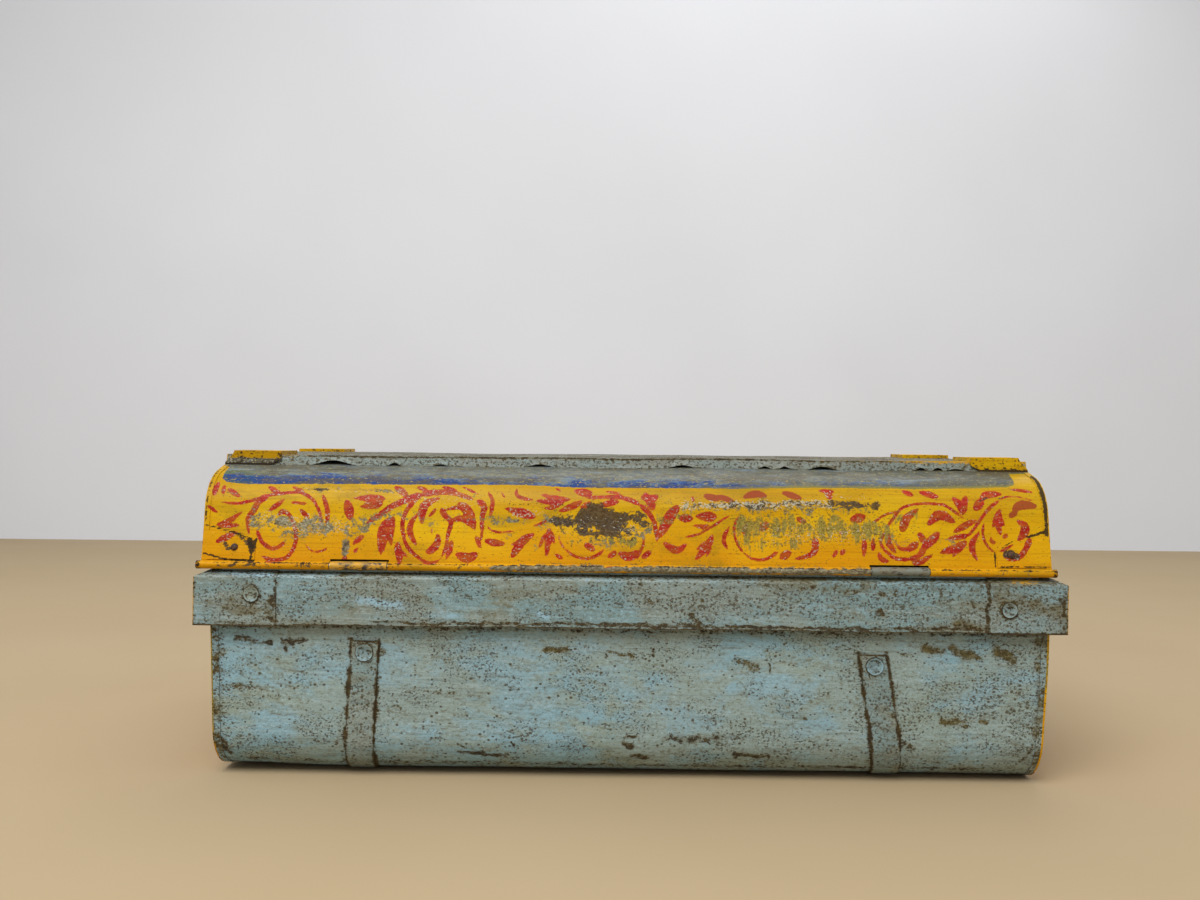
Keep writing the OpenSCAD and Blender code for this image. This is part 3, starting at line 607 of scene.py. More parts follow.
def place_piece(
    bm: bmesh.types.BMesh,
    fitting: Fitting,
    warp: Warp | None = None,
    more: Iterable[Dent] = (),
    values: Callable[[np.ndarray], Values] | None = None,
) -> None:
    """Makes a finished piece of a mesh.

    Args:
        bm: The mesh, in metres, before the metal is bent. It is freed.
        fitting: Its name, body, slot, replaced nodes and materials.
        warp: The ripples and dents of the body that it is fixed to.
        more: Dents of this piece alone.
        values: Works out the attributes that its materials read, from the places in millimetres.
    """
    bmesh.ops.triangulate(bm, faces=[f for f in bm.faces if len(f.verts) > 4])
    mesh = bpy.data.meshes.new(fitting.name)
    bm.to_mesh(mesh)
    bm.free()
    flat = np.zeros(len(mesh.vertices) * 3)
    mesh.vertices.foreach_get("co", flat)
    points = flat.reshape(-1, 3) / MM
    for name, numbers in (values(points) if values else {}).items():
        data = mesh.attributes.new(name, "FLOAT", "POINT").data
        data.foreach_set("value", np.broadcast_to(numbers, len(points)).astype(np.float32))
    if warp:
        mesh.vertices.foreach_set("co", (warp.bend(points, more) * MM).ravel())
    mesh.update()
    mesh.shade_smooth()
    mesh.set_sharp_from_angle(angle=SHARP)
    for finish in fitting.finishes:
        mesh.materials.append(finish)
    piece = bpy.data.objects.new(fitting.name, mesh)
    bpy.context.scene.collection.objects.link(piece)
    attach(piece, fitting.body)
    if fitting.nodes:
        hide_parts(*fitting.nodes)
    log.info("%s: %d faces", fitting.name, len(mesh.polygons))


@dataclass(frozen=True)
class Field:
    """A number or colour that varies over a surface: a socket, ready for sums and products."""

    recipe: "Recipe"
    socket: bpy.types.NodeSocket

    def __add__(self, other: "Field | float") -> "Field":
        """Adds a field or a number."""
        return self.recipe.calc("ADD", self, other)

    def __sub__(self, other: float) -> "Field":
        """Takes a number away."""
        return self + -other

    def __mul__(self, other: "Field | float") -> "Field":
        """Multiplies by a field or a number."""
        return self.recipe.calc("MULTIPLY", self, other)

    def least(self, other: "Field | float") -> "Field":
        """Gives the smaller of the two."""
        return self.recipe.calc("MINIMUM", self, other)

    def most(self, other: "Field | float") -> "Field":
        """Gives the larger of the two."""
        return self.recipe.calc("MAXIMUM", self, other)

    def rise(self, low: float, high: float) -> "Field":
        """Goes smoothly from 0 at low to 1 at high, or the other way where low is above high."""
        flip = low > high
        ends = (min(low, high), max(low, high), float(flip), float(not flip))
        made = self.recipe.node("ShaderNodeMapRange", self, *ends, interpolation_type="SMOOTHSTEP")
        return Field(self.recipe, made.outputs[0])

    def cover(self, share: "Field | float", soft: float = 0.05) -> "Field":
        """Gives a mask that covers a share of the surface, along this noise's grains.

        Args:
            share: How much it covers, from 0 to 1.
            soft: How soft the grains' edges are.

        Returns:
            The mask.
        """
        return (self.rise(0.3, 0.7) + share).rise(1.04 - soft, 1.04 + soft)


Source = Field | float | str | Sequence[float]


class Recipe:
    """A material's nodes, written as arithmetic on fields. Patterns read object coordinates."""

    def __init__(self, name: str) -> None:
        """Starts a material with its shader and its coordinates in metres."""
        self.material = bpy.data.materials.new(name)
        self.material.use_nodes = True
        self.tree = self.material.node_tree
        self.shader = self.tree.nodes["Principled BSDF"]
        self.point = Field(self, self.tree.nodes.new("ShaderNodeTexCoord").outputs["Object"])
        split = self.node("ShaderNodeSeparateXYZ", self.point)
        self.x, self.y, _ = (Field(self, socket) for socket in split.outputs)

    def node(self, kind: str, *sources: Source, **settings: object) -> bpy.types.Node:
        """Adds a node, with its settings and what its first inputs take."""
        made = self.tree.nodes.new(kind)
        for key, value in settings.items():
            setattr(made, key, value)
        for socket, source in zip(made.inputs, sources):
            self.feed(socket, source)
        return made

    def feed(self, socket: bpy.types.NodeSocket, source: Source) -> None:
        """Links a field to a socket, or sets the socket's own number or colour."""
        if isinstance(source, Field):
            self.tree.links.new(source.socket, socket)
        else:
            socket.default_value = linear(source) if isinstance(source, str) else source

    def calc(self, operation: str, first: Source, second: Source) -> Field:
        """Does one step of arithmetic."""
        made = self.node("ShaderNodeMath", first, second, operation=operation)
        return Field(self, made.outputs[0])

    def stretched(self, ratio: Sequence[float], shift: float, turn: float = 0.0) -> Field:
        """Gives the coordinates turned about Y by some degrees, then stretched along each axis."""
        turned = self.point
        if turn:
            spin = self.node("ShaderNodeMapping", self.point)
            spin.inputs["Rotation"].default_value = (0, math.radians(turn), 0)
            turned = Field(self, spin.outputs[0])
        made = self.node("ShaderNodeMapping", turned)
        made.inputs["Location"].default_value = (shift, 1.7 * shift, 2.3 * shift)
        made.inputs["Scale"].default_value = ratio
        return Field(self, made.outputs[0])

    def cloud(
        self, scale: float, ratio: Sequence[float] = (1, 1, 1), detail: float = 3,
        rough: float = 0.55, shift: float = 0.0, twist: float = 0.0, turn: float = 0.0,
    ) -> Field:
        """Gives a noise from 0 to 1, centred on a half.

        Args:
            scale: Bumps to the metre.
            ratio: How the scale differs along each axis.
            detail: How many finer layers it has.
            rough: How strong those are.
            shift: Moves the pattern.
            twist: Distorts the pattern.
            turn: Turns the pattern about Y, in degrees.

        Returns:
            The noise.
        """
        made = self.node("ShaderNodeTexNoise", self.stretched(ratio, shift, turn))
        settings = {"Scale": scale, "Detail": detail, "Roughness": rough, "Distortion": twist}
        for key, value in settings.items():
            made.inputs[key].default_value = value
        return Field(self, made.outputs[0])

    def carried(self, name: str) -> Field:
        """Reads a number that the mesh carries at its points."""
        made = self.node("ShaderNodeAttribute", attribute_name=name)
        return Field(self, made.outputs["Fac"])

    def dotted(self, scale: float, crowd: Field, shift: float) -> Field:
        """Gives a mask of separate dots, more of them where the crowd is high.

        Args:
            scale: Cells to the metre, with at most one dot in each.
            crowd: The share of cells that have a dot.
            shift: Moves the pattern.

        Returns:
            The mask.
        """
        cells = self.node("ShaderNodeTexVoronoi", self.stretched((0.85, 1, 1), shift))
        cells.inputs["Scale"].default_value = scale
        lots = self.node("ShaderNodeSeparateColor", Field(self, cells.outputs["Color"]))
        lot, size = (Field(self, socket) for socket in lots.outputs[:2])
        away = Field(self, cells.outputs["Distance"]) + size * 0.16
        return (lot + crowd).rise(0.97, 1.03) * away.rise(0.46, 0.3)

    def blend(self, amount: Source, under: Source, over: Source) -> Field:
        """Lays one colour over another."""
        made = self.node("ShaderNodeMix", data_type="RGBA")
        for index, source in ((0, amount), (6, under), (7, over)):
            self.feed(made.inputs[index], source)
        return Field(self, made.outputs[2])

    def done(
        self, colour: Source, rough: Source, height: Field | None = None, lift: float = 0.0003,
        metallic: float = 0.0, shine: float = 0.5,
    ) -> bpy.types.Material:
        """Joins the layers to the shader.

        Args:
            colour: The surface's colour.
            rough: Its roughness.
            height: Its fine relief.
            lift: How deep that relief is, in metres.
            metallic: How far it is bare metal.
            shine: How strongly it mirrors.

        Returns:
            The finished material.
        """
        for name, source in (("Base Color", colour), ("Roughness", rough), ("Metallic", metallic),
                             ("Specular IOR Level", shine)):
            self.feed(self.shader.inputs[name], source)
        if height is not None:
            bump = self.node("ShaderNodeBump")
            for name, source in (("Distance", lift), ("Strength", 0.8), ("Height", height)):
                self.feed(bump.inputs[name], source)
            self.feed(self.shader.inputs["Normal"], Field(self, bump.outputs[0]))
        return self.material


class Coat:
    """Layers of colour, each laid over the ones before it."""

    def __init__(self, recipe: Recipe, ground: Source) -> None:
        """Starts with the lowest colour."""
        self.recipe = recipe
        self.tone = ground

    def lay(self, mask: Field, tone: Source, strength: float = 1.0) -> None:
        """Lays a colour over the others where the mask is, at a strength."""
        amount = mask if strength == 1.0 else mask * strength
        self.tone = self.recipe.blend(amount, self.tone, tone)


@dataclass(frozen=True)
class BluePaint:
    """Brushed blue-grey house paint over rust: streaks, specks, olive grime, rusty edges, painted
    shade and highlights.
    """

    name: str
    ground: str = "88AFBE"
    warm: str = "8F9F95"
    light: str = "98AFB5"
    shade: str = "66777A"
    bright: str = "9CC6DC"
    fleck: str = "C2921A"
    grime_and_shade: tuple[str, str] = ("6B5E2C", "564A1E")
    moss_and_shade: tuple[str, str] = ("5F510C", "463A12")
    rust_and_shadow: tuple[str, str] = ("49380F", "291F10")
    speck: str = "463A1A"
    halo: str = "65561E"
    dirt: float = 0.0
    shift: float = 0.0

    def make(self) -> bpy.types.Material:
        """Builds the material."""
        r, shift = Recipe(self.name), self.shift
        broad = r.cloud(7, (1, 1, 1.8), 3, 0.6, shift, 0.4)
        patches = r.cloud(21, (0.7, 1, 1.3), 7, 0.7, 3 + shift, 0.3)
        smears = r.cloud(34, (0.32, 1, 1.25), 7, 0.75, 12 + shift, 0.5)
        crowds = r.cloud(26, (0.7, 1, 1.2), 4, 0.6, 11 + shift)
        brushed = r.cloud(190, (0.10, 0.3, 1.7), 5, 0.72, shift, 0.5)
        slanted = r.cloud(210, (0.16, 0.3, 1.3), 5, 0.68, 5 + shift, 0.5, turn=-9)
        coarse = r.cloud(120, (0.7, 1, 1), 7, 0.76, 8 + shift, 0.4)
        grain = r.cloud(380, (0.65, 1, 1), 6, 0.8, shift)
        dots = r.cloud(560, (0.75, 1, 1), 3, 0.65, 2 + shift)
        both = (coarse + grain) * 0.5
        spotty = (coarse + grain + grain) * (1 / 3)
        flecked = grain.rise(0.42, 0.58)
        olive_and_shade, rust_and_shadow = r.carried("olive_and_shade"), r.carried("rust_and_shadow")

        coat = Coat(r, self.ground)
        coat.lay((patches + broad * 0.5).rise(0.66, 0.84), self.warm)
        coat.lay(broad.rise(0.4, 0.6), self.light, 0.35)
        coat.lay(brushed.rise(0.52, 0.66), "AEC1C4", 0.36)
        coat.lay(brushed.rise(0.48, 0.34), self.shade, 0.45)
        coat.lay(((slanted + grain) * 0.5).rise(0.5, 0.37), "67624A", 0.6)
        coat.lay(grain.rise(0.54, 0.66), "B4D2DC", 0.62)
        coat.lay(grain.rise(0.48, 0.37), "68644A", 0.62)
        # Pale patches of paint, some of them painted highlights.
        ragged = (coarse - 0.5) * 1.7 + (grain - 0.5) * 0.8
        coat.lay((r.carried("pale_and_highlight") + ragged).rise(0.35, 1.15), self.bright, 0.78)

        far_side = r.x.rise(0.1, 0.4) * (0.1 + 1.2 * self.dirt)
        # The olive film is grime, and in places painted shade: the band's top and the body's lower
        # edge.
        film_and_shade = olive_and_shade * 0.8 + smears.rise(0.5, 0.7) * (0.33 + self.dirt) + far_side
        coat.lay(both.cover(film_and_shade, 0.15), r.blend(flecked, *self.grime_and_shade), 0.62)
        coat.lay(spotty.cover((olive_and_shade * 0.85).least(0.66), 0.1), r.blend(flecked, *self.moss_and_shade), 0.86)
        crowd = crowds.rise(0.42, 0.66) * (0.3 + self.dirt) + r.carried("specks") * 0.36
        crowd = crowd + olive_and_shade * 0.2 + far_side + 0.13
        worms = ((dots + grain) * 0.5).cover(crowd.least(0.38), 0.06)
        specks = worms.most(r.dotted(300, crowd * 0.9, shift))
        coat.lay(specks, self.speck, 0.84)
        coat.lay(grain.cover(r.carried("fleck")), self.fleck)
        coat.lay(both.cover(rust_and_shadow * 1.15, 0.28), self.halo, 0.66)
        # The rust mask also carries a painted shadow along the body's lower edge.
        rust_and_shadow_mask = spotty.cover(rust_and_shadow, 0.1)
        coat.lay(rust_and_shadow_mask, r.blend(coarse.rise(0.42, 0.6), *self.rust_and_shadow), 0.92)
        worn = rust_and_shadow_mask.most(specks)
        height = brushed * 0.6 + slanted * 0.4 + worn * -0.45 + grain * 0.2
        return r.done(coat.tone, broad * 0.14 + 0.42 + worn * 0.3, height, 0.0006, shine=0.35)


@dataclass(frozen=True)
class YellowPaint:
    """Glossy yellow with a red scroll, a blue strip above it, the wear of a used lid, and painted
    shade.
    """

    name: str
    ground: str = "CE9C02"
    light: str = "DBAF08"
    low: str = "CF8C01"
    red: tuple[str, str] = ("961C12", "AC2C1C")
    pink: str = "8F2C20"
    strip: str = "203F7A"
    strip_light: str = "647C92"
    strip_grey: str = "6F746A"
    drip: tuple[str, str] = ("6A6A36", "8A8648")
    grey: tuple[str, str] = ("554D3C", "807C66")
    brown: tuple[str, str] = ("3A2B21", "584C3B")
    rust_and_shadow: str = "2F2418"
    clean: float = 0.0
    shift: float = 0.0

    def make(self) -> bpy.types.Material:
        """Builds the material."""
        r, shift = Recipe(self.name), self.shift
        up, grey, drip = r.carried("up"), r.carried("grey"), r.carried("drip")
        broad = r.cloud(9, (1, 1, 1.5), 4, 0.6, shift)
        smudge = r.cloud(17, (0.55, 1, 1), 7, 0.7, 22 + shift, 0.4)
        lines = r.cloud(330, (0.035, 0.5, 1.5), 5, 0.72, shift, 0.25)
        grain = r.cloud(520, (0.7, 1, 1), 5, 0.74, shift)
        coarse = r.cloud(130, (0.8, 1, 1), 7, 0.74, 9 + shift, 0.4)
        dots = r.cloud(760, (0.8, 1, 1), 2, 0.6, 2 + shift)
        tones = r.cloud(420, (0.8, 1, 1), 4, 0.75, 31)
        drips = r.cloud(150, (1.3, 1, 0.16), 5, 0.7, 17, 0.3)
        both = (coarse + grain) * 0.5
        fine = (coarse + coarse + grain) * (1 / 3)
        rough_edged = (coarse + both) * 0.5

        coat = Coat(r, self.ground)
        coat.lay(broad.rise(0.4, 0.62), self.light)
        coat.lay((up + (broad - 0.5) * 60).rise(48, 0), self.low, 0.75)
        # Darker higher up the sheet, towards the shoulder: painted shade.
        coat.lay(up.rise(36, 76), "8E6A0A", 0.46)
        coat.lay(smudge.rise(0.5, 0.66), "8C7412", 0.5)
        coat.lay(lines.rise(0.52, 0.68), "965F04", 0.42)
        coat.lay(lines.rise(0.46, 0.34), "DDAE16", 0.3)
        wobble = (grain + coarse - 1.0) * 2.6
        scroll = (r.carried("scroll") + wobble).rise(0.5, -0.3)
        thin = r.cloud(260, (0.3, 1, 1), 3).rise(0.35, 0.6) * 0.2 + 0.8
        coat.lay(scroll * thin, r.blend(coarse.rise(0.4, 0.6), *self.red))
        coat.lay((r.carried("pink") + wobble).rise(0.5, -0.3), self.pink, 0.85)
        edge = r.carried("strip") + (coarse - 0.5) * 4.0
        coat.lay(edge.rise(-0.35, 0.35), self.painted_strip(r, up, edge, fine))

        drip_tone = r.blend(tones.rise(0.45, 0.6), *self.drip)
        coat.lay(((drips + both) * 0.5).cover(drip, 0.1), drip_tone, 0.78)
        coat.lay(rough_edged.cover(grey * 0.8, 0.2), "6F6A4E", 0.66)
        greyed = fine.cover(grey * 0.74, 0.09)
        grey_tone = r.blend(tones.rise(0.4, 0.5), *self.grey)
        coat.lay(greyed, r.blend(tones.rise(0.55, 0.64), grey_tone, "A9A890"), 0.9)
        browned = rough_edged.cover(r.carried("brown"), 0.08)
        coat.lay(browned, r.blend(grain.rise(0.44, 0.6), *self.brown), 0.94)
        scratches = r.cloud(640, (0.7, 1, 1), 4, 0.7, 13)
        coat.lay(scratches.cover(r.carried("white") * 0.52 + scroll * 0.17), "BCB8A2", 0.85)
        dust = ((dots + grain) * 0.5).cover(drip * 0.25 + (0.2 - self.clean), 0.06)
        coat.lay(dust, "5F4A1C", 0.75)
        # The rust mask also carries the painted shadow along the caps' feet.
        rust_and_shadow_mask = both.cover(r.carried("rust_and_shadow"), 0.08)
        coat.lay(rust_and_shadow_mask, self.rust_and_shadow, 0.95)
        worn = browned.most(rust_and_shadow_mask.most(greyed))
        height = lines * 0.4 + worn * -0.5 + scroll * 0.12 + grain * 0.1
        return r.done(coat.tone, broad * 0.12 + 0.36 + worn * 0.3, height, 0.0004, shine=0.12)

    def painted_strip(self, r: Recipe, up: Field, edge: Field, fine: Field) -> Field:
        """Mixes the colour of the strip above the scroll: blue on the left, worn on the right.

        Args:
            r: The material's recipe.
            up: How far up the sheet a place lies, in millimetres.
            edge: How far inside the strip it lies, in millimetres.
            fine: A fine noise.

        Returns:
            The colour.
        """
        mottle = r.cloud(75, (0.4, 1, 1), 7, 0.76, 4, 0.5)
        streak = r.cloud(240, (0.12, 0.5, 1.0), 6, 0.76, 4, 0.6)
        smear = r.cloud(34, (0.35, 1, 1.6), 8, 0.74, 33, 0.8)
        faded = (mottle - 0.5) * 2.0 + 0.5 + r.x * 0.3 + (up - 86) * 0.03
        faded = faded + r.x.rise(-0.3, -0.05) * 0.1
        coat = Coat(r, self.strip)
        coat.lay(faded.rise(0.36, 0.62), self.strip_light)
        coat.lay(faded.rise(0.48, 0.7), self.strip_grey)
        coat.lay(fine.rise(0.53, 0.44), "1F3052", 0.45)
        green = r.x.rise(-0.33, -0.375) * mottle.rise(0.42, 0.56) * up.rise(103, 98)
        coat.lay(green, "3E5C34", 0.7)
        coat.lay(streak.rise(0.5, 0.62) * (up.rise(84, 98) * 0.4 + 0.45), "544C36")
        darker = r.x.rise(0.04, 0.31) * 0.8 * (mottle.rise(0.4, 0.6) + 0.55)
        coat.lay(darker.least(0.85), "4E4E42")
        torn = ((mottle + fine) * 0.5).cover(r.x.rise(-0.36, 0.1) * 0.14 + 0.2, 0.08)
        coat.lay(torn, "74705A", 0.85)
        coat.lay(smear.rise(0.5, 0.58), "554E3C", 0.72)
        coat.lay(smear.rise(0.44, 0.34) * up.rise(82, 90), "7E93A2", 0.6)
        coat.lay(fine.cover(up.rise(92, 112) * 0.2 + 0.14), "3C3A33")
        coat.lay(r.cloud(600, (0.5, 1, 1), 4, 0.7, 21).cover(0.17), "9C8C50")
        coat.lay(fine.rise(0.54, 0.64) * up.rise(88, 100), "93A29C", 0.6)
        coat.lay(edge.rise(4.5, 1.0) * r.x.rise(0.03, 0.16), "837A30", 0.75)
        return coat.tone


def old_iron(name: str) -> bpy.types.Material:
    """Makes dark wrought iron with brown and orange rust."""
    r = Recipe(name)
    blotch = r.cloud(60, (1, 1, 1), 7, 0.7, 0, 0.5)
    pits = r.cloud(420, (1, 1, 1), 5, 0.7)
    coat = Coat(r, "2B2521")
    coat.lay(blotch.rise(0.4, 0.6), "5A3B24")
    coat.lay((pits + blotch * 0.5).rise(0.78, 0.92), "8A5428", 0.8)
    return r.done(coat.tone, pits * 0.35 + 0.5, pits * 0.6 + blotch, 0.0004, 0.35)


def bright_wire(name: str) -> bpy.types.Material:
    """Makes drawn steel wire, dull and spotted with rust."""
    r = Recipe(name)
    spots = r.cloud(180, (0.6, 1, 1), 6, 0.7).rise(0.5, 0.66)
    drawn = r.cloud(900, (0.02, 1, 1), 2)
    colour = r.blend(spots, "8E8C86", "54402C")
    return r.done(colour, spots * 0.4 + 0.3, drawn + spots * -0.5, 0.0001, 0.8)


def inner_tin(name: str) -> bpy.types.Material:
    """Makes the unpainted inner face of the sheets: dull grey tin with brown stains."""
    r = Recipe(name)
    stains = r.cloud(18, (1, 1, 1), 8, 0.68, 2, 0.6)
    freckles = r.cloud(260, (1, 1, 1), 5, 0.7)
    coat = Coat(r, "77766E")
    coat.lay(stains.rise(0.44, 0.66), "5B4A36")
    coat.lay(freckles.rise(0.56, 0.68), "3D3024", 0.7)
    return r.done(coat.tone, stains * 0.3 + 0.42, stains + freckles * 0.4, 0.0003, 0.35)


def hinge_paint(name: str) -> bpy.types.Material:
    """Makes rusty iron whose knuckle was painted: yellow on the left hinge, grey on the right."""
    r = Recipe(name)
    chips = r.cloud(240, (0.5, 1, 1), 6, 0.7)
    stains = r.cloud(110, (0.6, 1, 1), 5, 0.7, 3.0, 0.4)
    paint = Coat(r, "C99512")
    paint.lay(r.x.rise(-0.01, 0.01), "70756A")
    paint.lay(stains.rise(0.48, 0.6), "6E5F3C", 0.6)
    paint.lay(stains.rise(0.44, 0.34), "9A9678", 0.55)
    outside = r.y.rise(-0.211, -0.2125)
    colour = r.blend(outside * chips.rise(0.6, 0.5), "3B2F25", paint.tone)
    return r.done(colour, chips * 0.2 + 0.45, chips)


PROFILE = LidProfile()
LOW, HIGH = (np.array(corner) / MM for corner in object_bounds())

BLUE = BluePaint("blue_paint").make()
BAND_BLUE = BluePaint("band_blue", ground="7B9AA0", warm="7F8678", dirt=0.14, shift=2.0).make()
STRAP_BLUE = BluePaint(
    "strap_blue", ground="819A9C", warm="868C7C", dirt=0.08, shift=4.0
).make()
RIVET_BLUE = BluePaint("rivet_blue", dirt=0.05, shift=6.0).make()
TEAL = BluePaint("teal_paint", ground="7F8B85", warm="828378", light="8E9A95", shade="676B60",
                 bright="9DB0B0", dirt=0.14, shift=9.0).make()
YELLOW = YellowPaint("yellow_paint").make()
CAP_YELLOW = YellowPaint("cap_yellow", low="B98A1A", clean=0.02, shift=3.0).make()
IRON = old_iron("rusted_iron")
WIRE = bright_wire("bright_wire")
TIN = inner_tin("inner_tin")
HINGE = hinge_paint("hinge_paint")

CALM_LINES = (
    Dent((0, -215, 193), (2000, 45, 26), (1, 0, 0)),
    Dent((0, 205, 193), (2000, 45, 26), (1, 0, 0)),
)
BODY_WARP = Warp(
    ripple=0.9, pitch=95.0, seed=1.0,
    dents=(
        Dent((-392, -200, 0), (120, 900, 70), (0, 0, 3.4)),
        Dent((392, -200, 20), (60, 900, 110), (-3.2, 0, 0)),
        Dent((-120, -210, 60), (90, 60, 45), (0, 1.3, 0)),
        Dent((70, -210, 30), (70, 60, 40), (0, 1.2, 0)),
        Dent((150, -210, 85), (80, 60, 30), (0, -0.8, 0)),
        Dent((330, -210, 70), (60, 60, 50), (0, 1.2, 0)),
        Dent((-330, -210, 90), (60, 60, 50), (0, 1.0, 0)),
    ),
    calm=(
        *CALM_LINES,
        Dent((-385, -6.5, 112), (60, 120, 60), (1, 0, 0)),
        Dent((385, -6.5, 112), (60, 120, 60), (1, 0, 0)),
        Dent((-225, 210, 160), (60, 40, 60), (1, 0, 0)),
        Dent((225, 210, 160), (60, 40, 60), (1, 0, 0)),
    ),
)
LID_WARP = Warp(
    ripple=1.1, pitch=85.0, seed=7.0,
    dents=(
        Dent((-30, -205, 232), (55, 40, 26), (0, 1.4, 0)),
        Dent((150, -205, 240), (60, 40, 30), (0, 1.0, -0.3)),
        Dent((-354, -212, 212), (9, 20, 9), (0, 1.0, 0)),
        Dent((230, -6, 290), (190, 190, 30), (0, 0, -2.0)),
        Dent((-120, 20, 290), (150, 150, 30), (0, 0, -1.2)),
    ),
    calm=(
        *CALM_LINES,
        Dent((-225, 205, 220), (60, 60, 60), (1, 0, 0)),
        Dent((225, 205, 220), (60, 60, 60), (1, 0, 0)),
    ),
)

BODY_WEAR_AND_PAINTED_LIGHT: Wear = {
    "rust_and_shadow": seen_at(
        BODY_BACK,
        (236, 638, 252, 640, 4, 1.3), (252, 641, 270, 643, 3.4, 1.2), (281, 643, 304, 641, 3.2, 1),
        (284, 646, 285, 652, 4.5, 0.75), (213, 640, 215, 735, 3, 0.8), (217, 735, 226, 757, 6, 0.9),
        (278, 655, 279, 728, 1.8, 0.4), (226, 714, 234, 723, 5, 0.35), (460, 754, 506, 757, 4.2, 1),
        (455, 741, 464, 749, 1.6, 0.7), (474, 741, 483, 751, 1.6, 0.7),
        (509, 741, 513, 747, 2, 0.7), (624, 742, 630, 747, 5.5, 1.1),
        (626, 738, 637, 737, 3.4, 0.9), (633, 759, 649, 758, 4.2, 1),
        (664, 739, 720, 740, 7.5, 0.55), (714, 734, 718, 742, 2.4, 0.6),
        (724, 706, 725, 711, 2.2, 0.8), (769, 665, 769, 673, 3.2, 0.6),
        (796, 663, 797, 666, 3.5, 0.5), (735, 756, 770, 758, 5, 0.8),
        (735, 749, 736, 762, 3.2, 0.7), (520, 741, 500, 735, 4, 0.4),
        (905, 744, 913, 748, 5.5, 0.6), (1000, 700, 1038, 735, 16, 0.26),
        (1044, 640, 1044, 740, 3.5, 0.7), (1038, 745, 1020, 768, 5, 0.6),
        # (240, 765, 980, 774) is a painted shadow along the rounded lower edge, where the bottom
        # meets the floor.
        (240, 765, 980, 774, 5, 0.72), (652, 648, 652, 668, 1.5, 0.6),
        (334, 643, 341, 643, 1.6, 0.7), (604, 654, 608, 657, 2.5, 0.6),
    ),
    "olive_and_shade": seen_at(
        BODY_BACK,
        (545, 650, 568, 651, 6.5, 0.95), (608, 651, 633, 656, 4.2, 0.85),
        (738, 660, 757, 668, 9, 0.75), (925, 648, 941, 652, 8.5, 1), (217, 640, 219, 740, 13, 0.6),
        (1041, 640, 1040, 745, 12, 0.6), (226, 685, 256, 688, 7, 0.6),
        (224, 665, 245, 672, 7, 0.45), (418, 690, 480, 697, 4, 0.6), (392, 705, 400, 708, 4, 0.8),
        (500, 740, 610, 748, 7, 0.4), (780, 712, 830, 730, 8, 0.4), (951, 650, 963, 654, 8, 0.95),
        (967, 655, 980, 659, 7, 0.85), (998, 651, 1013, 659, 11, 1), (903, 655, 915, 656, 5, 0.7),
        (943, 722, 966, 724, 7.5, 0.9), (980, 723, 988, 724, 5, 0.8), (385, 665, 435, 715, 16, 0.2),
        # (300, 765, 940, 772) also darkens the rounded lower edge: painted shadow.
        (225, 684, 262, 688, 9, 0.25), (738, 692, 825, 705, 6, 0.32), (300, 765, 940, 772, 7, 0.3),
        (940, 750, 1020, 752, 12, 0.25),
    ),
    "pale_and_highlight": seen_at(
        BODY_BACK,
        # Lighter patches of paint, and painted highlights such as the streak from (710, 655) to
        # (822, 660).
        (502, 640, 517, 643, 5, 0.95), (488, 658, 489, 665, 2.6, 0.9), (553, 683, 554, 700, 3, 0.6),
        (710, 655, 822, 660, 6, 0.55), (318, 650, 330, 700, 16, 0.45),
        (235, 665, 262, 705, 18, 0.3), (680, 705, 760, 715, 14, 0.35),
        (1020, 650, 1030, 664, 9, 0.4), (840, 690, 862, 735, 14, 0.4),
        (760, 700, 830, 716, 9, 0.35), (1032, 745, 1038, 752, 3, 0.8),
        (955, 690, 990, 705, 15, 0.25),
    ),
    "specks": seen_at(
        BODY_BACK,
        (560, 655, 640, 725, 26, 0.55), (990, 690, 1040, 735, 24, 1), (300, 725, 315, 742, 11, 0.8),
        (926, 685, 960, 690, 9, 0.8), (216, 650, 222, 740, 14, 0.8), (800, 740, 850, 755, 12, 0.6),
    ),
}
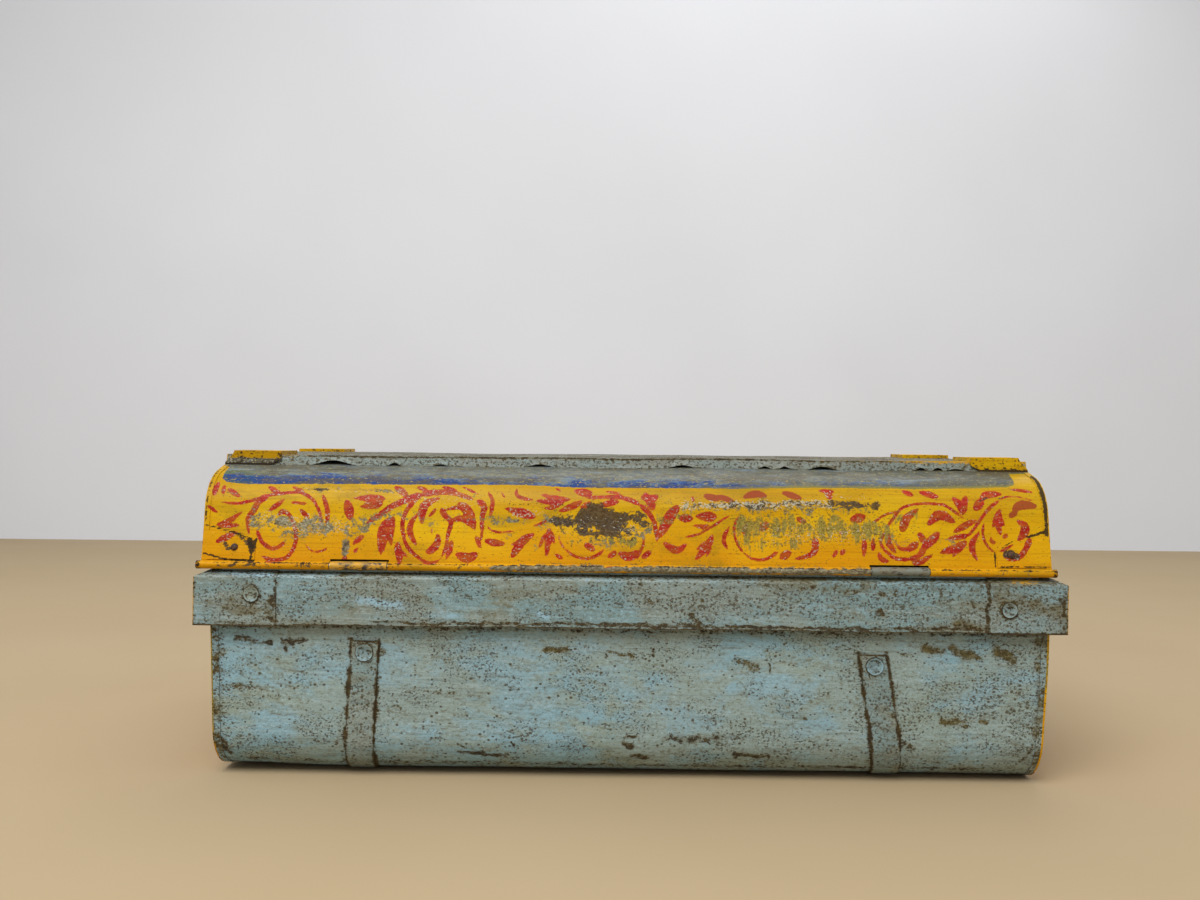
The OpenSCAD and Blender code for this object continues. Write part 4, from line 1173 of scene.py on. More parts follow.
BAND_WEAR_AND_PAINTED_LIGHT: Wear = {
    "rust_and_shadow": seen_at(
        BAND_BACK,
        (275, 573, 275, 626, 2.6, 0.9), (270, 598, 274, 605, 5.5, 0.8),
        (268, 617, 274, 621, 5, 0.8), (989, 583, 988, 633, 3.6, 1), (370, 623, 600, 625, 2.6, 0.85),
        (600, 625, 700, 626, 4, 0.95), (700, 627, 985, 630, 2.8, 0.78),
        (200, 620, 272, 625, 2.6, 0.5), (281, 620, 370, 621, 2.6, 0.4),
        (384, 594, 386, 596, 2.4, 0.9), (378, 600, 380, 601, 2.4, 0.9), (880, 592, 884, 595, 4, 1),
        (880, 610, 884, 614, 4.4, 1), (1064, 598, 1064, 614, 6, 0.7),
        (1060, 622, 1066, 630, 5, 0.6), (205, 587, 206, 598, 5, 0.5), (960, 626, 986, 630, 5, 0.55),
        (795, 586, 860, 590, 3.6, 0.4), (235, 590, 240, 596, 3.5, 0.35),
        (243, 600, 247, 601, 3, 0.4), (690, 616, 700, 625, 5, 0.7), (300, 583, 345, 582, 2.5, 0.35),
        (600, 585, 790, 588, 2.4, 0.5),
    ),
    "olive_and_shade": seen_at(
        BAND_BACK,
        (328, 597, 352, 608, 8, 0.4), (419, 596, 443, 605, 7, 0.45), (462, 588, 484, 615, 9, 0.45),
        (558, 598, 572, 604, 5, 0.6), (593, 600, 605, 602, 4, 0.5), (648, 601, 662, 604, 6, 0.6),
        (700, 599, 705, 603, 4, 0.8), (690, 610, 696, 622, 5, 0.6), (892, 592, 985, 608, 9, 0.4),
        (955, 622, 984, 632, 7, 0.6), (1000, 600, 1062, 612, 16, 0.5),
        (205, 605, 268, 612, 16, 0.42), (800, 588, 870, 592, 6, 0.45), (225, 612, 262, 620, 7, 0.3),
    ),
    "pale_and_highlight": seen_at(
        BAND_BACK,
        # Lighter patches of paint, and painted highlights along the band's top chamfer: the rows
        # near pixel rows 571 to 580.
        (205, 571, 272, 575, 6, 0.95), (359, 600, 400, 606, 9, 0.9), (429, 615, 462, 617, 6, 0.7),
        (534, 616, 548, 617, 5, 1), (600, 608, 640, 612, 8, 0.45), (700, 605, 770, 616, 10, 0.35),
        (800, 605, 870, 612, 9, 0.5), (283, 572, 300, 577, 5, 0.6), (222, 600, 228, 622, 8, 0.35),
        (1000, 612, 1055, 622, 8, 0.35), (905, 618, 950, 622, 6, 0.4), (460, 576, 600, 580, 3, 0.8),
    ),
    "specks": seen_at(
        BAND_BACK,
        (596, 592, 700, 606, 13, 1.35), (690, 596, 770, 604, 12, 0.7),
        (800, 590, 868, 600, 12, 0.8), (1000, 590, 1060, 605, 12, 0.5),
        (470, 590, 590, 602, 11, 0.5),
    ),
}


def side_values(points: np.ndarray, wear: Wear, plane: float) -> Values:
    """Works out a blue piece's attributes from the hinge side's wear, painted highlights and
    painted shadow.

    Args:
        points: The places in millimetres.
        wear: The worn places, with painted highlights and painted shadow among them.
        plane: The Y of the face that carries them.

    Returns:
        The rust, olive grime, pale patches and specks at each point, with painted light and shade
        among them.
    """
    x, _, z = (points + 2.4 * jostle(points, 8.0, 6.0)).T
    back = smooth_fall((points[:, 1] - plane) / 40.0)
    found = {name: np.minimum(strongest(marks, x, z), 1.4) * back for name, marks in wear.items()}
    found["rust_and_shadow"] = np.minimum(found["rust_and_shadow"], 0.68 * back)
    return found


def deepen(values: Values, name: str, amount: np.ndarray) -> None:
    """Raises an attribute to an amount wherever it is lower."""
    values[name] = np.maximum(values.get(name, 0.0), amount)


def level_rust_and_shade(values: Values, points: np.ndarray, *lines: tuple[float, float, float]) -> None:
    """Adds rust along level lines, given by their height, reach and strength; along the band's top
    it is partly painted shade.
    """
    for height, reach, strength in lines:
        deepen(values, "rust_and_shadow", strength * smooth_fall(np.abs(points[:, 2] - height) / reach))


def wander(points: np.ndarray, pitch: float, seed: float) -> np.ndarray:
    """Gives a share from 0 to 1 that wanders slowly from place to place.

    Args:
        points: The places in millimetres.
        pitch: How far apart its swells lie.
        seed: Picks the pattern.

    Returns:
        A share for each point.
    """
    base = Vector((seed, 2 * seed, 3 * seed))
    return np.clip([0.5 + 0.9 * noise.noise(Vector(p) / pitch + base) for p in points], 0, 1)


@dataclass(frozen=True)
class Strap:
    """A strap's place on the body: middle at its top and foot, its height and its width."""

    side: str
    top: float
    foot: float
    height: float
    width: float = 25.0

    def cuts(self, offsets: Iterable[float]) -> list[Cut]:
        """Makes planes that run along the strap at distances from its middle."""
        lean = math.atan2(self.top - self.foot, self.height)
        faces = (math.cos(lean), 0, -math.sin(lean))
        return [Cut((self.foot + off, 0, 0), faces) for off in offsets]

    def away(self, points: np.ndarray) -> np.ndarray:
        """Gives each point's distance from the strap's middle line."""
        middle = self.foot + (self.top - self.foot) * points[:, 2] / self.height
        return np.abs(points[:, 0] - middle)


STRAPS = (Strap("left", -238, -244, 125), Strap("right", 220, 237, 118))


@dataclass(frozen=True)
class Trunk:
    """The trunk's body: wrap, ends, rim band, straps and their rivets."""

    body: str = "trunk_body"
    fine: float = 3.0
    rim_low: float = 139.0
    rim_top: float = 183.0
    half: float = 390.0
    seams: tuple[float, float] = (-316.0, 320.0)
    rim_rivets: tuple[tuple[float, float], ...] = ((-338.0, 168.0), (338.0, 161.0))
    strap_rivets: tuple[tuple[float, float], ...] = ((-238.5, 114.5), (221.5, 107.5))
    scroll_scale: float = 1.9
    end_lean: float = 4.5
    end_half: float = 379.0
    end_depth: float = 204.0
    lean_top: float = 187.0

    def end_x(self, height: float) -> float:
        """Gives how far out the sloping end face lies at a height."""
        return self.end_half - self.end_lean * (1 - height / self.lean_top)

    def build(self) -> None:
        """Builds and dresses every piece of the body."""
        self.wrap()
        for side in ("left", "right"):
            self.end_panel(side)
            self.rim_end(side)
        for side in ("back", "front"):
            self.rim_strip(side)
        for strap in STRAPS:
            self.strap(strap)
        self.rivets("rim_rivets", self.rim_rivets)
        self.rivets("strap_rivets", self.strap_rivets)

    def wrap(self) -> None:
        """Builds the sheet that is bent to the front, bottom and back."""
        bm = merged_copy("body_wrap")
        xs = stations((-self.half, self.half), 9.0)
        cuts = grid_cuts(xs, stations((-160, 150), 24.0), [2, 4, 7, *stations((10, 142), 7.0)])
        for strap in STRAPS:
            cuts += strap.cuts((-17.5, -14.5, -12.8, 12.8, 14.5, 17.5))
        divide(bm, cuts)
        close = grid_cuts(stations((-387, 387), 3.2), (), stations((12, 140), 3.2))
        divide(bm, close, faces_hinge_side)
        bm.normal_update()
        for facet in bm.faces:
            centre = facet.calc_center_median() / MM
            towards = Vector((0, MIDDLE_Y - centre.y, 90 - centre.z))
            within = abs(centre.y - MIDDLE_Y) < self.end_depth - 0.5
            facet.material_index = int(within and facet.normal.dot(towards) > 0)

        def values(points: np.ndarray) -> Values:
            """Works out the attributes, with the rust beside the straps."""
            found = side_values(points, BODY_WEAR_AND_PAINTED_LIGHT, BODY_BACK)
            wide, strong = wander(points, 26.0, 3.0), wander(points, 11.0, 5.0)
            for strap in STRAPS:
                off = np.abs(strap.away(points) - strap.width / 2)
                below = points[:, 2] < strap.height + 3
                beside = smooth_fall(off / (2.6 + 3.6 * wide)) * below
                deepen(found, "rust_and_shadow", (0.45 + 0.75 * strong) * beside)
                deepen(found, "olive_and_shade", 0.65 * strong * smooth_fall(off / 15) * below)
            level_rust_and_shade(found, points, (137, 6, 0.5), (0.5, 4, 0.7))
            # The olive film thickens over the lowest 30 mm: grime, and painted shade on the rounded
            # lower edge.
            deepen(found, "olive_and_shade", 0.5 * smooth_fall(points[:, 2] / 30))
            return found

        fitting = Fitting("dented_wrap", self.body, "blue_paint", ("body_wrap",), (BLUE, TIN))
        place_piece(bm, fitting, BODY_WARP, values=values)

    def end_panel(self, side: str) -> None:
        """Builds an end panel, yellow with one large scroll."""
        left = side == "left"
        sign, edge, stained, dripped = (-1, 1.3, 0.55, 0.75) if left else (1, 1.8, 0.3, 0.4)
        node = f"body_end_{side}"
        bm = merged_copy(node)
        slope = (sign, 0, -self.end_lean / self.lean_top)
        sliver = Cut((sign * (self.end_x(0) - edge), 0, 0), slope)
        divide(bm, [sliver, *grid_cuts((), stations((-204, 190), 4.0), stations((4, 184), 4.0))])
        bm.normal_update()
        for facet in bm.faces:
            centre = facet.calc_center_median() / MM
            folded = abs(facet.normal.x) < 0.7 and abs(centre.x) < self.end_x(centre.z) - edge
            facet.material_index = 2 if facet.normal.x * sign < -0.7 else int(folded)

        def values(points: np.ndarray) -> Values:
            """Works out the scroll and the rust on the panel."""
            scale = self.scroll_scale
            across = from_middle(points)
            inwards = self.end_depth - across
            drawn = painted(SCROLL, -137 - across / scale, (points[:, 2] - 14) / scale) * scale
            found = dict(PLAIN_YELLOW, up=points[:, 2] * 0.4)
            found["scroll"] = np.where(inwards < 0.8, FAR, drawn)
            found["brown"] = 0.5 * smooth_fall(points[:, 2] / 40)
            level_rust_and_shade(found, points, (2, 9, 0.5), (137, 5, 0.5))
            patchy = wander(points, 17.0, 4.0)
            folded = 0.08 + 0.45 * patchy**2
            edging = np.where(inwards < 0.6, folded, 0.5 * smooth_fall(inwards / 5))
            outer = (np.abs(points[:, 0]) > self.end_x(points[:, 2]) - edge - 0.4) & (inwards < 0.8)
            deepen(found, "rust_and_shadow", np.where(outer, stained * patchy, edging))
            found["drip"] = np.where(outer, dripped, 0.0)
            found["olive_and_shade"] = 0.35 + 0.45 * patchy
            found["specks"] = 0.6 * patchy
            return found

        finishes = (YELLOW, BLUE, TIN)
        fitting = Fitting(f"end_panel_{side}", self.body, "yellow_paint", (node,), finishes)
        place_piece(bm, fitting, BODY_WARP, values=values)

    def divide_band(
        self, bm: bmesh.types.BMesh, xs: Iterable[float], ys: Iterable[float],
        reach: Sequence[float],
    ) -> None:
        """Divides a piece of the rim band, finely on its hinge side.

        Args:
            bm: The piece's mesh.
            xs: Where upright planes cross it.
            ys: Where planes across the trunk cross it.
            reach: From which X to which X its hinge side is divided finely.
        """
        divide(bm, grid_cuts(xs, ys, [140.5, 142.5, 145, *stations((149, 182), 5.5), 184.5, 186]))
        close = grid_cuts(stations(reach, self.fine), (), stations((141, 183), self.fine))
        divide(bm, close, faces_hinge_side)

    def band_values(self, points: np.ndarray, low: float, top: tuple[float, float]) -> Values:
        """Works out the rim band's attributes.

        Args:
            points: The places in millimetres.
            low: How strong the rust along the lower edge is.
            top: The reach and strength of the rust and painted shade along the upper edge.

        Returns:
            The attributes.
        """
        found = side_values(points, BAND_WEAR_AND_PAINTED_LIGHT, BAND_BACK)
        # The line along the upper edge and the olive film over the top 7 mm darken the band's top:
        # rust and grime, and painted shade.
        level_rust_and_shade(found, points, (self.rim_low, 3.2, low), (self.rim_top, *top))
        deepen(found, "olive_and_shade", 0.6 * smooth_fall((self.rim_top + 3 - points[:, 2]) / 7))
        return found

    def rim_strip(self, side: str) -> None:
        """Builds the long strip of the band on the back or the front."""
        node = f"rim_strip_{side}"
        bm = merged_copy(node)
        beside = (seam + off for seam in self.seams for off in (-4, -2, 2, 4))
        xs = sorted({*stations((-self.half, self.half), 7.0), *beside})
        self.divide_band(bm, xs, (), (-386, 386))
        fitting = Fitting(f"band_{side}", self.body, "blue_paint", (node,), (BAND_BLUE,))
        place_piece(
            bm, fitting, BODY_WARP, values=lambda points: self.band_values(points, 1.1, (2.2, 0.35))
        )

    def rim_end(self, side: str) -> None:
        """Builds an end of the band with its two legs."""
        index = int(side == "right")
        sign, seam = (-1, 1)[index], self.seams[index]
        rivet_x, rivet_z = self.rim_rivets[index]
        node = f"rim_end_{side}"
        bm = merged_copy(node)
        xs = {seam + sign * off for off in (1.5, 3, 5, 9)}
        xs |= {sign * v for v in stations((330, 389), 6.0)}
        reach = sorted((sign * 318, sign * 389))
        self.divide_band(bm, sorted(xs), stations((-215, 201), 10.0), reach)
        bm.normal_update()
        for facet in bm.faces:
            out = abs(facet.calc_center_median().x) / MM
            facet.material_index = int(facet.normal.x * sign > 0.7 and out > 388)

        def values(points: np.ndarray) -> Values:
            """Works out the attributes, with the rust along the edges and round the corner."""
            found = dict(PLAIN_YELLOW, up=30.0, **self.band_values(points, 1.0, (2, 0.3)))
            corner = smooth_fall(np.abs(points[:, 0] - sign * self.half) / 5.0)
            deepen(found, "rust_and_shadow", 0.5 * corner * (from_middle(points) > 208))
            ring = np.hypot(points[:, 0] - rivet_x, points[:, 2] - rivet_z) - 8.0
            deepen(found, "rust_and_shadow", 0.7 * smooth_fall(np.abs(ring) / 2.6))
            out = sign * points[:, 0]
            found["fleck"] = 1.2 * smooth_fall((self.half - np.abs(out)) / 1.5) * (out > 388)
            if side == "right":
                along = smooth_fall(np.abs(out - 352.0) / 26)
                spilt = along * smooth_fall(np.abs(points[:, 2] - 185.5) / 3.5)
                deepen(found, "fleck", 0.8 * spilt)
            found["brown"] = 0.3 * smooth_fall(np.abs(points[:, 2] - self.rim_low) / 12)
            return found

        fitting = Fitting(f"band_end_{side}", self.body, "blue_paint", (node,), (BAND_BLUE, YELLOW))
        place_piece(bm, fitting, BODY_WARP, values=values)

    def strap(self, strap: Strap) -> None:
        """Builds a strap, rusty along both edges."""
        node = f"strap_{strap.side}"
        bm = merged_copy(node)
        zs = [3, 6, *stations((10, strap.height), 3.5)]
        along = strap.cuts((-11.4, -10, -8, -5, -2, 2, 5, 8, 10, 11.4))
        divide(bm, grid_cuts((), stations((-190, 180), 20.0), zs) + along)

        def values(points: np.ndarray) -> Values:
            """Works out the attributes, with the rust along the strap's edges."""
            found = side_values(points, BODY_WEAR_AND_PAINTED_LIGHT, BODY_BACK)
            wide, strong = wander(points, 26.0, 3.0), wander(points, 11.0, 5.0)
            edge = smooth_fall((strap.width / 2 - strap.away(points)) / (1.6 + 3.0 * wide))
            found["rust_and_shadow"] = np.maximum(found["rust_and_shadow"] * 0.6, (0.4 + 0.6 * strong) * edge)
            deepen(found, "olive_and_shade", 0.3)
            level_rust_and_shade(found, points, (strap.height, 4.0, 0.8), (0, 6.0, 0.7))
            return found

        fitting = Fitting(f"worn_{node}", self.body, "strap_paint", (node,), (STRAP_BLUE,))
        place_piece(bm, fitting, BODY_WARP, values=values)

    def rivets(self, node: str, middles: Iterable[tuple[float, float]]) -> None:
        """Builds dished rivets, given by their X and Z, with dark rings in their dishes and a
        painted highlight on each head.
        """

        def values(points: np.ndarray) -> Values:
            """Works out the rust round each rivet's edge and in its dish, and a painted highlight
            at its middle.
            """
            each = [np.hypot(points[:, 0] - x, points[:, 2] - z) for x, z in middles]
            away = np.min(each, axis=0)
            edge = np.max(away[points[:, 1] < BODY_BACK + 0.5])
            ring = smooth_fall(np.abs(away - edge) / 1.5)
            ring += 0.5 * smooth_fall(np.abs(away - edge + 2.6) / 1.3)
            return {"rust_and_shadow": 0.9 * np.clip(ring, 0, 1), "pale_and_highlight": smooth_fall(away / 7.0) * 0.6}

        fitting = Fitting(f"dished_{node}", self.body, "blue_paint", (node,), (RIVET_BLUE,))
        place_piece(merged_copy(node), fitting, BODY_WARP, values=values)


LID_WEAR: Wear = {
    "brown": spots(
        (-42, 46, -14, 44, 14, 1.5), (-32, 50, -20, 36, 15, 1.45), (-66, 42, 10, 44, 16, 0.8),
        (-50, 32, 0, 30, 12, 0.6), (180, 61, 222, 59, 8, 0.78), (60, 58, 190, 61, 7, 0.66),
        (-350, 24, -338, 12, 5, 0.8), (336, 17, 347, 15, 4.8, 1.1), (95, 60, 116, 58, 5, 0.7),
        (-222, 55, -221, 56, 3, 0.9), (-366, 20, -362, 15, 5, 0.7), (-290, 70, -272, 70, 3, 0.6),
        (318, 66, 345, 72, 2, 0.7), (-258, 15, -254, 19, 6, 0.45),
    ),
    "grey": spots(
        (-340, 42, -270, 34, 17, 0.78), (-310, 30, -240, 36, 15, 0.72), (-75, 42, 14, 36, 19, 0.72),
        (-256, 19, -256, 10, 8, 1), (-245, 42, -210, 47, 7, 0.6), (40, 57, 210, 58, 12, 0.6),
        (-300, 70, -205, 69, 6, 0.52), (-378, 68, -350, 62, 9, 0.42),
        (-225, 45, -150, 40, 22, 0.34), (-135, 46, -95, 40, 9, 0.5), (230, 34, 300, 28, 14, 0.34),
        (-200, 70, -130, 64, 9, 0.3), (-40, 24, 0, 20, 9, 0.5), (-110, 30, -85, 20, 9, 0.35),
    ),
    "drip": spots(
        (105, 40, 225, 38, 24, 0.72), (30, 44, 60, 52, 12, 0.5), (70, 58, 220, 54, 8, 0.5),
        (225, 45, 262, 52, 14, 0.4), (100, 24, 150, 24, 14, 0.5), (-50, 26, 5, 24, 10, 0.6),
        (232, 30, 262, 44, 14, 0.36),
    ),
    "white": spots(
        (-70, 44, 10, 34, 16, 0.3), (50, 58, 180, 61, 7, 1), (-330, 42, -262, 34, 15, 0.55),
        (130, 30, 215, 35, 16, 0.35), (-215, 60, -140, 60, 14, 0.28), (180, 70, 215, 68, 4, 0.4),
        (-300, 69, -212, 68, 4, 0.35), (-108, 48, -80, 50, 8, 0.45),
    ),
    "rust_and_shadow": spots(
        (-122, 57, -60, 57.4, 1.5, 0.55), (-342, 4, -338, 23, 2.4, 1), (-345, 24, -338, 16, 4, 0.6),
        (-385, 36, -359, 29, 1.5, 0.95), (-359, 29, -342, 23, 1.8, 1),
        (328, 5, 328.5, 19.5, 1.8, 1), (331, 20, 345, 28, 1.5, 0.7), (358, 32, 378, 38, 2.4, 1.05),
        (375, 34, 376, 46, 4.5, 0.9), (376, 48, 376, 104, 4.4, 1.15), (-385, 36, -385, 100, 3, 0.7),
        (328, 5, 378, 5.5, 1.3, 0.8), (-384, 10, -366, 5, 1.5, 1), (-366, 5, -338, 3.6, 1.5, 1),
        (-384, 2.4, 376, 2.4, 1.5, 0.62), (-344, 22, -341, 12, 4.2, 1.1),
        (-334, 12, -330, 12, 3, 0.5),
    ),
}
FRONT_WEAR: Wear = {
    "brown": spots(
        (-229, 20, -229, 58, 19, 0.62), (221, 20, 221, 58, 19, 0.66), (60, 6, 130, 10, 7, 0.5),
    ),
    "grey": spots(
        (-60, 44, 90, 40, 16, 0.5), (250, 52, 330, 44, 13, 0.48), (-340, 30, -270, 22, 11, 0.42),
        (-180, 66, -60, 68, 6, 0.45),
    ),
    "drip": spots(
        (-120, 30, -80, 34, 16, 0.4), (120, 58, 190, 50, 10, 0.45),
    ),
    "white": spots(
        (-50, 44, 80, 40, 14, 0.4), (260, 50, 320, 46, 9, 0.4),
    ),
    "rust_and_shadow": spots(
        (-384, 4, 376, 3, 1.6, 0.45), (-242, 18, -242, 56, 2, 0.6), (235, 18, 235, 56, 2, 0.6),
    ),
}
STRIP_EDGE = (
    (-400, 115), (-379, 112), (-377, 84), (-371, 78), (-355, 76), (-260, 76), (-200, 77),
    (-100, 78), (-50, 75.5), (0, 75.5), (100, 76), (150, 77), (250, 78.5), (300, 79), (345, 81),
    (354, 85), (358, 112), (400, 115),
)
SLITS = (
    (-283, 38, 4.6), (-225, 11, 3.2), (-181, 13, 2), (-85, 26, 2.6), (51, 24, 3), (130, 11, 2.6),
    (149, 11, 2.6), (184, 27, 3.4), (278, 9, 3), (294, 8, 3), (311, 17, 2),
)
BARE_BEAD = ((-160, -90, 215, 250), (0.15, 1.0, 1.0, 0.25))
DIRTY_BEAD = ((-390, -380, -280, -180, 230, 250, 380), (0.8, 0.4, 0.35, 0.3, 0.35, 0.1, 0.3))
PANEL_YELLOW = ((-320, -290, 70, 120, 240, 290, 330), (0.5, 0.1, 0.1, 0.25, 0.4, 0.85, 0.9))


@dataclass(frozen=True)
class Lid:
    """The lid: two rolled side sheets, the ends, the raised panel, its caps and the nails."""

    body: str = "lid"
    fine: float = 1.5
    notch_half: float = 26.5
    notch_top: float = 5.6
    hinges: tuple[float, float] = (-243.0, 242.0)
    roll_steps: int = 20

    def build(self) -> None:
        """Builds and dresses every piece of the lid."""
        self.side_sheet("back", -1)
        self.side_sheet("front", 1)
        self.top_panel()
        for side in ("left", "right"):
            self.end(side)
            for face in ("back", "front"):
                self.cap(face, side)
        self.nails()

    def wear_values(self, points: np.ndarray, wear: Wear, side: int) -> Values:
        """Works out the painted pattern and the wear on a side sheet or a tab.

        Args:
            points: The places in millimetres.
            wear: The worn places, as seen on the hinge side.
            side: -1 on the back and 1 on the front, where the pattern is turned half round.

        Returns:
            The attributes that the yellow paint reads.
        """
        up = PROFILE.climb(points)
        across = points[:, 0] if side < 0 else 2 * PROFILE.shift - points[:, 0]
        found: Values = {
            "up": up,
            "scroll": painted(SCROLL, across, up),
            "pink": painted(PINK_BUDS, across, up),
            "strip": up - np.interp(across, *zip(*STRIP_EDGE)),
        }
        shake = 3.2 * jostle(points, 11.0, 4.0)
        for name, marks in wear.items():
            loose = float(name != "rust_and_shadow")
            found[name] = strongest(marks, across + loose * shake[:, 0], up + loose * shake[:, 2])
        return found

    def side_grid(self, side: int) -> bmesh.types.BMesh:
        """Makes one side sheet's mesh, without thickness: its roll, skirt and shoulder.

        Args:
            side: -1 for the back, which has notches for the hinges, and 1 for the front.

        Returns:
            The mesh, in metres.
        """
        p = PROFILE
        west, east = p.shift - p.half + p.sheet, p.shift + p.half - p.sheet
        ends = [p.shift - p.half - p.roll_over, west, east, p.shift + p.half + p.roll_over]
        hinges = self.hinges if side < 0 else ()
        notches = [hinge + off for hinge in hinges for off in (-self.notch_half, self.notch_half)]
        columns = stations([*ends[:2], *notches, *ends[2:]], self.fine)
        _, end, foot = p.lengths()
        turns = [math.radians(-312 + 307 * i / self.roll_steps) for i in range(self.roll_steps + 1)]
        rows = [0.0] * len(turns) + stations([1.5, self.notch_top, 80.0], self.fine)
        rows += stations([80.0, end, foot - 12, foot, foot + p.lap], 3.0)[1:]
        bm = bmesh.new()
        wide, tall = len(columns) - 1, len(rows) - 1
        bmesh.ops.create_grid(bm, x_segments=wide, y_segments=tall, size=1)
        cells = {}
        for vert in bm.verts:
            column, row = round((vert.co.x + 1) / 2 * wide), round((vert.co.y + 1) / 2 * tall)
            cells[vert] = (column, row)
            if row < len(turns):
                deep = -p.wire_r + p.roll_r * math.cos(turns[row])
                height = p.wire_z + p.roll_r * math.sin(turns[row])
            else:
                deep, height = p.surface(rows[row], -p.sheet)
            vert.co = Vector((columns[column], side * (p.face - deep) + p.middle_y, height)) * MM
        gone = []
        for quad in bm.faces:
            x = sum(columns[cells[v][0]] for v in quad.verts) / 4
            lowest = min(cells[v][1] for v in quad.verts)
            outside = not west < x < east and lowest >= len(turns) - 2
            notched = any(abs(x - hinge) < self.notch_half for hinge in hinges)
            if outside or (notched and rows[lowest] < self.notch_top - 0.1):
                gone.append(quad)
        bmesh.ops.delete(bm, geom=gone, context="FACES")
        return bm

    def side_sheet(self, face: str, side: int) -> None:
        """Builds the back or front sheet: the roll round its wire, the skirt and the shoulder."""
        p = PROFILE
        bm = self.side_grid(side)
        if side < 0:
            turn_up(bm)
        # The back sheet is thickened towards its wire, the front one away from it.
        bmesh.ops.solidify(bm, geom=bm.faces, thickness=-p.sheet * MM)
        turn_up(bm)
        outwards = Vector((0, side, 0.4))
        for quad in bm.faces:
            above_roll = quad.calc_center_median().z / MM > p.wire_z + 6
            quad.material_index = int(above_roll and quad.normal.dot(outwards) < -0.05)
        pries = tuple(
            Dent((x + off, -160, 277), (0.8 * wide + 4, 13, 8), (0, -0.5, lift * deep))
            for x, wide, deep in SLITS for off, lift in ((0, -0.4), (0.9 * wide + 8, 0.35))
        ) if side < 0 else ()
        wear = LID_WEAR if side < 0 else FRONT_WEAR

        def values(points: np.ndarray) -> Values:
            """Works out the attributes, with the bead's bare stretch."""
            found = self.wear_values(points, wear, side)
            outermost = from_middle(points) > p.face - 1
            bead = smooth_fall(np.abs(points[:, 2] - p.wire_z) / 5.5) * outermost
            if side < 0:
                deepen(found, "grey", 1.4 * bead * np.interp(points[:, 0], *BARE_BEAD))
                deepen(found, "brown", bead * np.interp(points[:, 0], *DIRTY_BEAD))
            ends_rust = smooth_fall((p.half - np.abs(points[:, 0] - p.shift)) / 3.0)
            deepen(found, "rust_and_shadow", 0.7 * ends_rust)
            return found

        node = f"lid_{face}_sheet"
        fitting = Fitting(f"rolled_sheet_{face}", self.body, "yellow_paint", (node,), (YELLOW, TIN))
        place_piece(bm, fitting, LID_WARP, pries, values)

    def top_panel(self) -> None:
        """Builds the raised panel, dotted with rust along its upper edge."""
        bm = merged_copy("lid_top_panel")
        shares = (-0.6, -0.45, -0.3, -0.15, 0, 0.15, 0.3, 0.45, 0.6)
        places = {round(x + share * wide, 1) for x, wide, _ in SLITS for share in shares}
        xs = sorted({*stations((-386, 378), 9.0), *places})
        zs = (283.5, 285, 286.5, 288, 289.4, 290.4)
        divide(bm, grid_cuts(xs, stations((-149, 136), 15.0), zs))
        pries = tuple(
            Dent((x, -150, 281), (0.56 * wide + 2, 9, 8.5), (0, -0.6, 1.1 * deep))
            for x, wide, deep in SLITS
        )

        def values(points: np.ndarray) -> Values:
            """Works out the rust on the panel's edges."""
            up = points[:, 2]
            side = np.abs(from_middle(points) - 143.5) < 5
            fleck = np.interp(points[:, 0], *PANEL_YELLOW) * smooth_fall(np.abs(up - 291.5) / 5.0)
            fleck *= side
            edges = {"rust_and_shadow": 0.9 * smooth_fall(np.abs(up - 290.6) / 2.2) * side}
            deepen(edges, "rust_and_shadow", 0.4 * smooth_fall(np.abs(up - 282) / 2.0) * side)
            top = up > 290.8
            worn = 0.34 + 0.3 * wander(points, 60.0, 8.0)
            return {
                "rust_and_shadow": np.where(top, worn, edges["rust_and_shadow"]) - 0.8 * fleck,
                "olive_and_shade": np.where(top, 0.6, 0.3),
                "fleck": fleck,
                "pale_and_highlight": 0.2 * side,
                "specks": np.where(top, 0.7, 0.4),
            }

        fitting = Fitting("sunken_panel", self.body, "teal_paint", ("lid_top_panel",), (TEAL,))
        place_piece(bm, fitting, LID_WARP, pries, values)

    def end(self, side: str) -> None:
        """Builds an end of the lid with its seam, hem and wrapped tabs."""
        sign = -1 if side == "left" else 1
        node = f"lid_end_{side}"
        bm = merged_copy(node)
        outer = PROFILE.shift + sign * PROFILE.half
        xs = [outer - sign * v for v in (1.6, 3.4, 5.2, *stations((6, 48), 3.0))]
        divide(bm, grid_cuts(xs, stations((-214, 200), 3.0), stations((197, 288), 3.0)))
        columns = sorted(outer - sign * v for v in stations((4, 50), 1.4))
        divide(bm, grid_cuts(columns, (), stations((190, 236), 1.4)), faces_hinge_side)

        def values(points: np.ndarray) -> Values:
            """Works out the scroll on the end, and what runs on from the sides over the tabs."""
            face = np.abs(points[:, 0] - outer) < 1.2
            found = self.wear_values(points, LID_WEAR, -1)
            across = (points[:, 1] - MIDDLE_Y) * sign * 0.95 - 180
            ornament = painted(SCROLL, across, points[:, 2] - 202)
            found["scroll"] = np.where(face, ornament, found["scroll"])
            found["strip"] = np.where(face | (from_middle(points) <= 150), -9.0, found["strip"])
            on_face = {"brown": 0.2, "white": 0.2, "grey": 0.3, "drip": 0.0, "rust_and_shadow": 0.0}
            for name, amount in on_face.items():
                found[name] = np.where(face, amount, found[name])
            level_rust_and_shade(found, points, (190, 4, 0.6), (289, 3, 0.5))
            rim = smooth_fall((PROFILE.half - np.abs(points[:, 0] - PROFILE.shift)) / 1.4) * ~face
            deepen(found, "rust_and_shadow", 0.6 * rim)
            return found

        fitting = Fitting(f"folded_end_{side}", self.body, "yellow_paint", (node,), (YELLOW,))
        place_piece(bm, fitting, LID_WARP, values=values)

